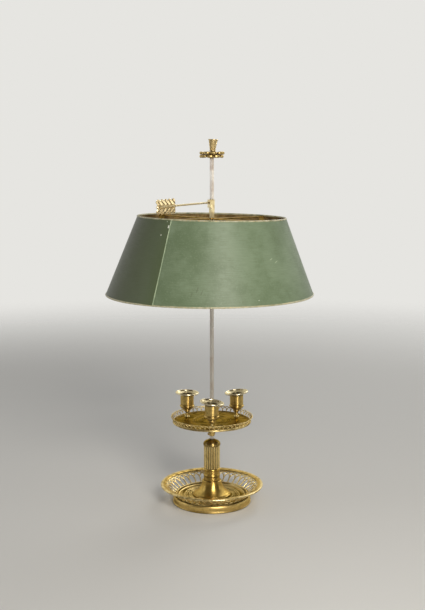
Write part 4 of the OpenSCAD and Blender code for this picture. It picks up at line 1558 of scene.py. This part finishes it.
@dataclass
class LeafRosette(Part):
    """The finial's two tiers of thick curled leaves on a turned hub."""

    finish: CastGilt = CastGilt(name="cast_gilt_rosette", bright="#dcc386", hollow_mm=2.5,
                                grime_and_shade_share=0.35, smooth=0.3, dull=0.5)
    node: str = "finial_rosette"
    leaves: int = 9
    tip_r: float = 22.3
    lower_tip_r: float = 21.5
    root_r: float = 6.5
    hub_r: float = 8.5
    hub_h: float = 11.0
    hub_foot: tuple[tuple[float, float], ...] = (
        (2.0, 0.0), (0.6, 0.6), (0.0, 2.0))  # in from the hub's side and up from its foot
    hub_crown: tuple[tuple[float, float], ...] = (
        (0.0, 2.0), (0.9, 0.7), (2.5, 0.0))  # in from the hub's side and down from its top
    bore_r: float = 2.15
    tier_gap: float = 0.2  # from the plane between the tiers to each of them
    leaf_half_w: float = 5.4
    root_share: float = 0.5  # of the half width, at the root
    belly_share: float = 0.52  # of the half width, added by the belly
    belly_wave: float = 0.8  # of half a wave, from the root to the tip
    tip_from: float = 0.84  # along the leaf, where its outline turns in to the tip
    blunt_share: float = 0.2  # of the width, left at the tip
    root_t: float = 3.6
    tip_t: float = 5.4
    swell: tuple[float, float] = (0.1, 0.8)  # along the leaf, from the thin root to the thick tip
    close_from: float = 0.86  # along the leaf, where its two faces come together
    close_share: float = 0.08  # of the thickness, left at the tip
    margin_power: float = 2.4  # fuller than a quarter round, which is 2
    lobes: float = 3.0
    lobe_depth: float = 0.12  # of the leaf's width
    first_lobe: float = 0.4  # in lobes from the root, the first one's crest
    ribs: float = 4.0
    rib_depth: float = 0.3
    rib_slant: float = 0.9  # in ribs, from the vein out to the margin
    rib_power: float = 0.5  # by which the ribs grow from the vein out to the margin
    vein_w: float = 0.15  # of the leaf's half width
    vein_depth: float = 0.8
    vein_end: tuple[float, float] = (0.03, 0.25)  # back from the tip, where the vein comes up
    curl: float = 0.35
    curl_waves: float = 1.5
    curl_turn: float = 0.1  # in waves, at the root
    along_steps: int = 22
    across_steps: int = 14
    hub_steps: int = 72

    def leaf_point(self, along: float, across: float, face: int, tip_r: float) -> Vector:
        """Find a point of one leaf, drawn along +x on the plane between the tiers.

        Args:
            along: 0 at the root and 1 at the tip.
            across: -1 at the left margin and 1 at the right margin.
            face: 1 on the upper face and -1 on the lower face.
            tip_r: Radius of the leaf's tip.

        Returns:
            The point.
        """
        cycle = 2 * math.pi
        lobed = 1.0 + self.lobe_depth * math.cos(cycle * (along * self.lobes - self.first_lobe))
        belly = self.belly_share * math.sin(math.pi * along * self.belly_wave)
        width = self.leaf_half_w * lobed * (self.root_share + belly)
        tip = quarter_round(smooth_step(along, self.tip_from, 1.0))
        width *= self.blunt_share + (1 - self.blunt_share) * tip
        reach = self.root_r + (tip_r - self.root_r) * along
        swell = smooth_step(along, *self.swell)
        half = (self.root_t + (self.tip_t - self.root_t) * swell) / 2
        curled = (self.curl * math.cos(cycle * (along * self.curl_waves + self.curl_turn))
                  * (1 - along))
        round_edge = quarter_round(abs(across), self.margin_power)
        closing = quarter_round(smooth_step(along, self.close_from, 1.0))
        closing = closing * (1 - self.close_share) + self.close_share
        height = self.tier_gap + half - curled + face * half * round_edge * closing
        if face > 0:
            vein = math.exp(-(across / self.vein_w) ** 2) * smooth_step(1 - along, *self.vein_end)
            rib = math.cos(cycle * (along * self.ribs - self.rib_slant * abs(across)))
            carved = (self.rib_depth * (rib * abs(across) ** self.rib_power - 1)
                      - self.vein_depth * vein)
            height += carved * round_edge * swell
        return Vector((reach, width * across, height))

    def add_leaf(self, draft: Draft, turn_deg: float, tier: Tier, mid_z: float) -> None:
        """Add one leaf to the rosette.

        Args:
            draft: The mesh being drawn.
            turn_deg: Angle of the leaf round the hub.
            tier: The tier that the leaf belongs to.
            mid_z: Height of the plane between the tiers.
        """
        tip_r = self.tip_r if tier is Tier.UPPER else self.lower_tip_r
        turn = Matrix.Rotation(math.radians(turn_deg), 3, "Z")
        facing = Vector((1.0, 1.0, tier.value))
        faces = [(j, 1) for j in range(self.across_steps + 1)]
        faces += [(j, -1) for j in range(self.across_steps - 1, 0, -1)]
        rows = []
        for i in range(self.along_steps + 1):
            along = i / self.along_steps
            ring = [self.leaf_point(along, 2 * j / self.across_steps - 1, face, tip_r)
                    for j, face in faces]
            rows.append([turn @ (point * facing) + Vector((0.0, 0.0, mid_z)) for point in ring])
        draft.tube(rows)

    def build(self) -> bpy.types.Object:
        """Build the rosette.

        Returns:
            The piece, set in on the stand.
        """
        top_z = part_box(self.node)[1].z * MM_PER_M
        foot_z = top_z - self.hub_h
        mid_z = foot_z + self.hub_h / 2
        draft = Draft()
        outline = [(self.bore_r, foot_z),
                   *((self.hub_r - inwards, foot_z + up) for inwards, up in self.hub_foot),
                   *((self.hub_r - inwards, top_z - down) for inwards, down in self.hub_crown),
                   (self.bore_r, top_z)]
        draft.turn(outline, self.hub_steps)
        for leaf in range(self.leaves):
            turn = 360 / self.leaves * leaf
            self.add_leaf(draft, turn, Tier.UPPER, mid_z)
            self.add_leaf(draft, turn + 180 / self.leaves, Tier.LOWER, mid_z)
        rosette = draft.piece("finial_leaf_rosette", crease_deg=55.0)
        return set_in(rosette, "stand", Slot.GILT, self.node)


# ---- screws and arrow ---------------------------------------------------------------------


def key_place(height: float) -> Matrix:
    """Place a drawing made along +z on the line that both screws follow, at a height in mm."""
    return (Matrix.Translation((0.0, 0.0, height))
            @ Matrix.Rotation(math.radians(KEY_TURN_DEG), 4, "Z")
            @ Matrix.Rotation(math.radians(90.0), 4, "Y"))


@dataclass
class ThreadedShank(Part):
    """A screw's shank with its thread cut in."""

    piece: str
    node: str
    body: str
    radius: float
    pitch: float
    start: float
    length: float
    slot: Slot
    finish: AgedMetal
    depth_share: float = 0.5  # of the pitch
    point_share: float = 0.09  # of the radius, which the screw's point loses
    around: int = 28
    rings_per_turn: int = 6

    def build(self) -> bpy.types.Object:
        """Build the shank.

        Returns:
            The piece, set in on its body.
        """
        depth = self.pitch * self.depth_share
        rings = int(self.length / self.pitch * self.rings_per_turn)
        rows = []
        for ring in range(rings + 1):
            along = self.length * ring / rings
            taper = min(1.0, (self.length - along) / self.pitch, along / self.pitch)
            point = self.point_share * (1.0 - smooth_step(along, 0.0, self.pitch))
            row = []
            for step in range(self.around):
                turn = (along / self.pitch - step / self.around) % 1.0
                radius = self.radius * (1 - point) - depth * abs(2 * turn - 1) * max(0.0, taper)
                angle = 2 * math.pi * step / self.around
                row.append(Vector((radius * math.cos(angle), radius * math.sin(angle),
                                   self.start + along)))
            rows.append(row)
        draft = Draft()
        draft.tube(rows)
        thread = draft.piece(self.piece, key_place(middle_z(self.node)), crease_deg=50.0)
        return set_in(thread, self.body, self.slot, self.node)


SHANKS = (
    ThreadedShank("arrow_thread", "arrow_screw", "arrow_thrust", radius=1.3, pitch=0.5, start=2.5,
                  length=7.9, slot=Slot.BRONZE, finish=OiledBronze()),
    ThreadedShank("tray_screw_thread", "tray_screw_shank", "tray_screw_thrust", radius=1.5,
                  pitch=0.5, start=2.5, length=4.85, slot=Slot.STEEL,
                  finish=DrawnSteel(name="steel_screw", drawn_marks=False)),
)


@dataclass
class FeatheredTail(Part):
    """The arrow's tail: two vanes of slanting barbs on a quill, bent down a little in use."""

    finish: CastGilt = CastGilt(name="cast_gilt_feathers", bright="#ffecbc",
                                tarnished="#dcbd7e", hollow_mm=1.2, grime_and_shade_share=0.85,
                                smooth=0.19)
    node: str = "arrow_feathers"
    bend_deg: float = 2.2
    bend_at: float = 10.45
    quill_start: float = 87.0
    reach: float = 131.0
    end_gap: float = 2.0
    shaft_r: float = 1.65
    quill_r: float = 3.0
    collar: tuple[tuple[float, float], ...] = (
        (0.72, 0.0), (0.8, 0.5), (0.74, 1.0), (1.0, 6.0))  # share of quill_r, back from its front
    nock: tuple[tuple[float, float], ...] = (
        (1.0, 6.5), (1.0, 5.6), (0.9, 4.6), (0.96, 3.6),
        (0.52, 0.3), (0.4, 0.0))  # share of quill_r, forward from its end
    nock_r: float = 0.05
    vane_h: float = 12.8
    vane_t: float = 2.0
    foot_short: float = 2.4  # how much less than all its barbs the vane's foot is long
    edge_long: float = 4.2  # how much longer the scalloped edge is than the foot
    barbs: int = 5
    barb_lean_deg: float = 42.0
    barb_shift: float = 0.8
    barb_front: float = 0.68  # of the thickness, at a barb's front
    barb_rise: float = 0.26  # of the thickness, gained at its back
    tip_share: float = 0.54  # of a barb's width, the radius of its rounded tip
    notch_square: float = 0.04  # least square of a tip's height, which keeps the notches open
    groove_w: float = 0.75
    groove_share: float = 0.45  # of the thickness, lost in the groove between two barbs
    strands: int = 4
    strand_share: float = 0.04  # of the thickness
    root_up: float = 0.6
    rim_w: float = 0.9
    rim_from: float = 0.9  # up the vane, where its edge rounds off
    rim_share: float = 0.05  # of the thickness, left at the rim
    along_steps: int = 110
    up_steps: int = 16
    quill_steps: int = 32

    def build(self) -> bpy.types.Object:
        """Build the tail.

        Returns:
            The piece, set in on the arrow's body.
        """
        draft = Draft()
        self.add_quill(draft)
        for side in (1.0, -1.0):
            self.add_vane(draft, side)
        bend = (Matrix.Translation((self.bend_at, 0.0, 0.0))
                @ Matrix.Rotation(math.radians(self.bend_deg), 4, "Y")
                @ Matrix.Translation((-self.bend_at, 0.0, 0.0)))
        place = (Matrix.Translation((0.0, 0.0, middle_z("arrow_screw")))
                 @ Matrix.Rotation(math.radians(KEY_TURN_DEG), 4, "Z") @ bend)
        tail = draft.piece("arrow_tail", place, crease_deg=50.0)
        return set_in(tail, "arrow_key", Slot.GILT, self.node)

    def add_quill(self, draft: Draft) -> None:
        """Turn the quill along +x, with a collar at its front and a nock at its end.

        Args:
            draft: The mesh being drawn.
        """
        r, a, b = self.quill_r, self.quill_start, self.reach - self.end_gap
        profile = [(self.shaft_r, a), *((r * share, a + back) for share, back in self.collar),
                   *((r * share, b - forward) for share, forward in self.nock), (self.nock_r, b)]
        turns = [2 * math.pi * k / self.quill_steps for k in range(self.quill_steps)]
        rows = [[Vector((along, radius * math.cos(turn), radius * math.sin(turn)))
                 for turn in turns] for radius, along in profile]
        draft.tube(rows)

    def edge_height(self, along: float, pitch: float) -> float:
        """Find the height of the vane's scalloped edge over the quill's axis.

        Args:
            along: Distance from the vane's front.
            pitch: Distance between two barbs.

        Returns:
            The height in millimetres.
        """
        tip_r = pitch * self.tip_share
        nearest = min(abs(along - tip_r - i * pitch) for i in range(self.barbs))
        return self.vane_h - tip_r + math.sqrt(max(self.notch_square, tip_r ** 2 - nearest ** 2))

    def half_thickness(self, along: float, up: float, pitch: float) -> float:
        """Find half of the thickness: each barb rises to its back edge and ends in a groove.

        Args:
            along: Distance from the vane's front.
            up: Height over the quill's axis.
            pitch: Distance between two barbs.

        Returns:
            Half of the thickness in millimetres.
        """
        lean = math.tan(math.radians(self.barb_lean_deg))
        share = ((along + (self.vane_h - up) * lean - self.barb_shift) / pitch) % 1.0
        groove = math.exp(-(min(share, 1.0 - share) * pitch / self.groove_w) ** 2)
        strands = self.strand_share * math.cos(2 * math.pi * share * self.strands)
        return self.vane_t / 2 * (self.barb_front + self.barb_rise * share + strands
                                  - self.groove_share * groove)

    def add_vane(self, draft: Draft, side: float) -> None:
        """Add one vane.

        Args:
            draft: The mesh being drawn, with x along the arrow and z up.
            side: 1 for the upper vane and -1 for the lower.
        """
        pitch = (self.reach - self.quill_start - self.end_gap) / self.barbs
        rows = []
        for i in range(self.along_steps + 1):
            share = i / self.along_steps
            face = []
            for j in range(self.up_steps + 1):
                climb = j / self.up_steps
                long = self.barbs * pitch - self.foot_short + self.edge_long * climb
                along = long * share
                edge = self.edge_height(along, pitch)
                up = self.root_up + (edge - self.root_up) * climb
                from_end = min(along, long - along) / self.rim_w
                rim = quarter_round(1.0 - min(1.0, from_end))
                rim *= quarter_round(smooth_step(climb, self.rim_from, 1.0))
                half = self.half_thickness(along, up, pitch)
                half *= self.rim_share + (1 - self.rim_share) * rim
                face.append((self.quill_start + along, half, side * up))
            rows.append([Vector(p) for p in face]
                        + [Vector((x, -y, z)) for x, y, z in face[-2::-1]])
        draft.tube(rows)


# ---- the frame's own nodes ----------------------------------------------------------------


@dataclass
class MetalWork:
    """Every piece of the frame whose shape is right already, and the metal that it is made of."""

    socket_ring_r: float = 52.0
    socket_turns: dict[str, float] = field(
        default_factory=lambda: {"front": -90.0, "left": 150.0, "right": 30.0})

    def finishes(self) -> dict[str, AgedMetal]:
        """Say which metal each node is made of.

        Returns:
            The finish of each node by the node's name.
        """
        base = TurnedBrass(name="turned_brass_base", hollow_mm=8.0)
        work: dict[str, AgedMetal] = {
            "foot_ring": TurnedBrass(name="turned_brass_foot", bright="#dcbf78",
                                     hollow_mm=6.0, anisotropy=0.0, smooth=0.3,
                                     rub_share=0.95, edge_mm=0.9),
            # darker than the base's brass, with a wide hollow: tarnish, and painted shade on the
            # floor next to the gallery and the pedestal
            "base_dish": TurnedBrass(name="turned_brass_dish", bright="#dcc384",
                                     tarnished="#66542c", hollow_mm=12.0, tarnish_share=1.0,
                                     tool_mark_mm=2.0, tool_depth_mm=0.16, ring_tarnish=0.6,
                                     blotch_mm=34.0, edge_mm=0.8, rub_share=0.95,
                                     anisotropy=0.0, grazed="#d3bf92"),
            "base_lip": CastGilt(name="cast_gilt_lip", bright="#cfae62", tarnished="#7a632f",
                                 tarnish_share=0.9, rub_share=0.95, handled_mm=(87.4, 89.0)),
            "pedestal": base,
            "column_ring": base,
            # the flutes are darkened towards the axis: wax in them, and painted shade
            "column_shaft": CastGilt(name="cast_gilt_column", bright="#f6dd9a",
                                     tarnished="#bb9d57", hollow_mm=3.0, grime_and_shade_share=0.62,
                                     wax_and_shade_mm=(14.3, 13.2), rub_share=0.9),
            "column_cap": TurnedBrass(name="turned_brass_cap", bright="#b39b62",
                                      tarnished="#6a5833", hollow_mm=4.0,
                                      tarnish_share=0.9, grazed="#c9b27a"),
            "finial_handle": CastGilt(name="cast_gilt_handle", bright="#dcc795",
                                      tarnished="#b39c6a", hollow_mm=2.0, grime_and_shade_share=0.3,
                                      smooth=0.34, dull=0.55),
            # dark, with a wide hollow: tarnish, and painted shade on the floor next to the gallery
            # and the sockets
            "tray_plate": TurnedBrass(name="turned_brass_tray", bright="#a68d57", hollow_mm=15.0,
                                      dull=0.5, tarnished="#5e4f2e", tarnish_share=0.9,
                                      blotch_mm=13.0, ring_tarnish=0.3, anisotropy=0.0,
                                      grazed="#cdb98e", rub_share=0.95,
                                      handled_mm=(67.2, 68.2)),
            "tray_collar": TurnedBrass(name="turned_brass_collar", bright="#dcbf78"),
            "tray_screw_head": TurnedBrass(name="turned_brass_screw", hollow_mm=1.2,
                                           tool_mark_mm=0.0),
            "socket_nuts": TurnedBrass(name="sawn_brass_nuts", tool_mark_mm=0.0),
            "shade_spider": TurnedBrass(name="sheared_brass_spider", tool_mark_mm=0.0,
                                        tarnish_share=0.8, anisotropy=0.0),
            "shade_rivets": TurnedBrass(name="peened_brass_rivets", tool_mark_mm=0.0,
                                        hollow_mm=1.5, anisotropy=0.0),
            "shade_sleeve": CastGilt(name="cast_gilt_sleeve", bright="#ffefc0",
                                     tarnished="#e8cf92", grime_and_shade_share=0.4, rub_share=0.8),
            "arrow_shaft": CastGilt(name="cast_gilt_arrow_shaft", bright="#fbeec6",
                                    tarnished="#dcc592", hollow_mm=1.5, grime_and_shade_share=0.4),
            "centre_rod": DrawnSteel(),
            "base_washer": DrawnSteel(name="steel_washer", drawn_marks=False),
            "base_nut": DrawnSteel(name="steel_nut", drawn_marks=False),
        }
        for side, turn in self.socket_turns.items():
            spot = polar(self.socket_ring_r, turn, 0.0)
            axis = (spot.x, spot.y)
            work["stem_" + side] = TurnedBrass(name="turned_brass_stem_" + side,
                                               bright="#dccb94", tarnished="#97834f",
                                               axis_mm=axis, grime_and_shade_share=0.6)
            work["socket_" + side] = TurnedBrass(name="turned_brass_socket_" + side,
                                                 bright="#cdb16c", tarnished="#7f6a3a",
                                                 axis_mm=axis, hollow_mm=3.0, grime_and_shade_share=0.6,
                                                 blotch_mm=9.0)
            work["pan_" + side] = SpunBrass(name="spun_brass_pan_" + side, axis_mm=axis,
                                            handled_mm=(18.0, 20.0), wax_and_shade_mm=(16.5, 12.5),
                                            grime_and_shade="#54451f", grime_and_shade_share=0.6)
        return work

    def dress(self, nodes: dict[str, bpy.types.Object], dresser: Dresser) -> None:
        """Dress the nodes.

        Args:
            nodes: The frame's nodes by name.
            dresser: Puts the finishes on.
        """
        for node, finish in self.finishes().items():
            dresser.dress(nodes[node], finish)


# ---- studio -------------------------------------------------------------------------------


@dataclass
class Softbox:
    """One soft light, square unless it's given a height, aimed at the middle of the lamp."""

    name: str
    place_m: tuple[float, float, float]
    side_m: float
    watts: float
    colour: str = "#ffffff"
    tall_m: float | None = None
    spread_deg: float = 180.0

    def build(self, aim: Vector) -> bpy.types.Object:
        """Hang the light.

        Args:
            aim: The point that it shines at, in metres.

        Returns:
            The light.
        """
        lamp = bpy.data.lights.new(self.name, "AREA")
        lamp.shape = "RECTANGLE"
        lamp.size = self.side_m
        lamp.size_y = self.tall_m or self.side_m
        lamp.spread = math.radians(self.spread_deg)
        lamp.energy = self.watts
        lamp.color = linear(self.colour)[:3]
        thing = bpy.data.objects.new(self.name, lamp)
        thing.location = self.place_m
        thing.rotation_euler = (aim - Vector(self.place_m)).to_track_quat("-Z", "Y").to_euler()
        bpy.context.scene.collection.objects.link(thing)
        return thing


@dataclass
class Studio:
    """A pale floor that fades into a pale background, soft light, and the camera."""

    floor_r_m: float = 2.8
    floor_steps: int = 96
    floor_drop_m: float = 0.0002  # keeps the foot and the floor from lying in one plane
    fade_from_m: float = 1.1
    floor_colour: str = "#d9d8d4"
    background: str = "#e6e5e1"
    room: str = "#5f5b54"
    backdrop_span: tuple[float, float] = (-0.15, 0.5)  # y of a direction: 1 is straight back
    ambient: float = 0.25
    camera_m: tuple[float, float, float] = (0.0012, -1.700, 0.6054)
    pitch_deg: float = 8.21
    lens_mm: float = 57.25
    sensor_mm: float = 36.0
    seen_m: tuple[float, float] = (0.05, 50.0)
    aim_z_m: float = 0.33

    def build(self) -> None:
        """Set up the floor, the world, the lights and the camera."""
        self.build_floor()
        self.build_world()
        aim = Vector((0.0, 0.0, self.aim_z_m))
        for softbox in (
            Softbox("key_softbox", (0.66, -2.15, 1.5), side_m=1.0, watts=36.0, colour="#fffaf2"),
            Softbox("strip_softbox", (0.58, -1.62, 0.50), side_m=0.30, watts=1.9,
                    colour="#fffaf2", tall_m=0.66, spread_deg=80.0),
            Softbox("side_softbox", (-2.1, -0.25, 0.9), side_m=0.9, watts=3.5, colour="#f8faff"),
            Softbox("fill_softbox", (2.1, -0.12, 0.5), side_m=0.5, watts=1.5, colour="#fffaf2"),
            Softbox("back_softbox", (0.9, 1.9, 1.7), side_m=1.2, watts=14.0),
        ):
            softbox.build(aim)
        self.build_camera()
        bpy.context.scene.view_settings.view_transform = "Standard"

    def build_floor(self) -> None:
        """Lay the round floor, whose rim is see-through so that no horizon shows."""
        mesh = bpy.data.meshes.new("studio_floor")
        rim = [polar(self.floor_r_m, 360 * i / self.floor_steps, 0.0)
               for i in range(self.floor_steps)]
        mesh.from_pydata(rim, [], [tuple(range(self.floor_steps))])
        floor = bpy.data.objects.new("studio_floor", mesh)
        floor.location.z = -self.floor_drop_m
        bpy.context.scene.collection.objects.link(floor)
        made, tree = empty_material("matt_paper_floor")
        place = add_node(tree, "ShaderNodeTexCoord").outputs["Object"]
        distance = add_node(
            tree, "ShaderNodeVectorMath", links={0: place}, operation="LENGTH",
        ).outputs["Value"]
        fade = add_node(
            tree, "ShaderNodeMapRange",
            {"From Min": self.fade_from_m, "From Max": self.floor_r_m},
            {"Value": distance}, interpolation_type="SMOOTHSTEP",
        ).outputs[0]
        paper = add_node(
            tree, "ShaderNodeBsdfPrincipled",
            {"Base Color": linear(self.floor_colour), "Roughness": 0.9,
             "Specular IOR Level": 0.1},
        ).outputs[0]
        clear = add_node(tree, "ShaderNodeBsdfTransparent").outputs[0]
        mixed = add_node(tree, "ShaderNodeMixShader", links={0: fade, 1: paper, 2: clear})
        add_node(tree, "ShaderNodeOutputMaterial", links={"Surface": mixed.outputs[0]})
        mesh.materials.append(made)

    def build_world(self) -> None:
        """Light the scene softly from all round, and show the pale background to the eye."""
        world = bpy.data.worlds.new("studio_world")
        bpy.context.scene.world = world
        world.use_nodes = True
        tree = world.node_tree
        tree.nodes.clear()
        path = add_node(tree, "ShaderNodeLightPath").outputs
        seen = add_node(
            tree, "ShaderNodeMath",
            links={0: path["Is Camera Ray"], 1: path["Is Glossy Ray"]}, operation="MAXIMUM",
        ).outputs[0]
        shown = add_node(
            tree, "ShaderNodeMath", links={0: seen, 1: path["Is Transmission Ray"]},
            operation="MAXIMUM",
        ).outputs[0]
        pale = add_node(
            tree, "ShaderNodeBackground", {"Strength": 1.0},
            {"Color": self.surroundings(tree, path["Is Camera Ray"])},
        ).outputs[0]
        light = add_node(
            tree, "ShaderNodeBackground", {"Color": linear("#ffffff"), "Strength": self.ambient},
        ).outputs[0]
        mixed = add_node(tree, "ShaderNodeMixShader", links={0: shown, 1: light, 2: pale})
        add_node(tree, "ShaderNodeOutputWorld", links={"Surface": mixed.outputs[0]})

    def surroundings(self, tree: Tree, looked_at: Socket) -> Socket:
        """Colour what the eye and the metal see: a pale backdrop, and the duller room before it.

        Args:
            tree: The world's node tree.
            looked_at: 1 where the eye looks straight at the backdrop.

        Returns:
            The colour in each direction.
        """
        way = add_node(tree, "ShaderNodeTexCoord").outputs["Generated"]
        backwards = add_node(tree, "ShaderNodeSeparateXYZ", links={0: way}).outputs[1]
        share = add_node(
            tree, "ShaderNodeMapRange",
            {"From Min": self.backdrop_span[0], "From Max": self.backdrop_span[1]},
            {"Value": backwards}, interpolation_type="SMOOTHSTEP",
        ).outputs[0]
        shown = add_node(
            tree, "ShaderNodeMath", links={0: share, 1: looked_at}, operation="MAXIMUM",
        ).outputs[0]
        return add_node(
            tree, "ShaderNodeMix", {6: linear(self.room), 7: linear(self.background)},
            {0: shown}, data_type="RGBA",
        ).outputs[2]

    def build_camera(self) -> None:
        """Set the camera in front of the lamp, looking slightly down."""
        lens = bpy.data.cameras.new("studio_camera")
        lens.lens = self.lens_mm
        lens.sensor_width = self.sensor_mm
        lens.sensor_fit = "AUTO"
        lens.clip_start, lens.clip_end = self.seen_m
        camera = bpy.data.objects.new("studio_camera", lens)
        camera.location = self.camera_m
        camera.rotation_euler = (math.radians(90.0 - self.pitch_deg), 0.0, 0.0)
        bpy.context.scene.collection.objects.link(camera)
        bpy.context.scene.camera = camera


# ---- the whole lamp -----------------------------------------------------------------------


def main() -> None:
    """Load the frame, build and dress every piece in order, and set up the studio."""
    logging.basicConfig(level=logging.INFO, format="%(name)s: %(message)s")
    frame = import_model()
    dresser = Dresser()
    MetalWork().dress(frame["nodes"], dresser)
    for part in (*GALLERIES, ToleShade(), LeafRosette(), FeatheredTail(), *SHANKS):
        part.dress(dresser)
    Studio().build()


if __name__ == "__main__":
    main()
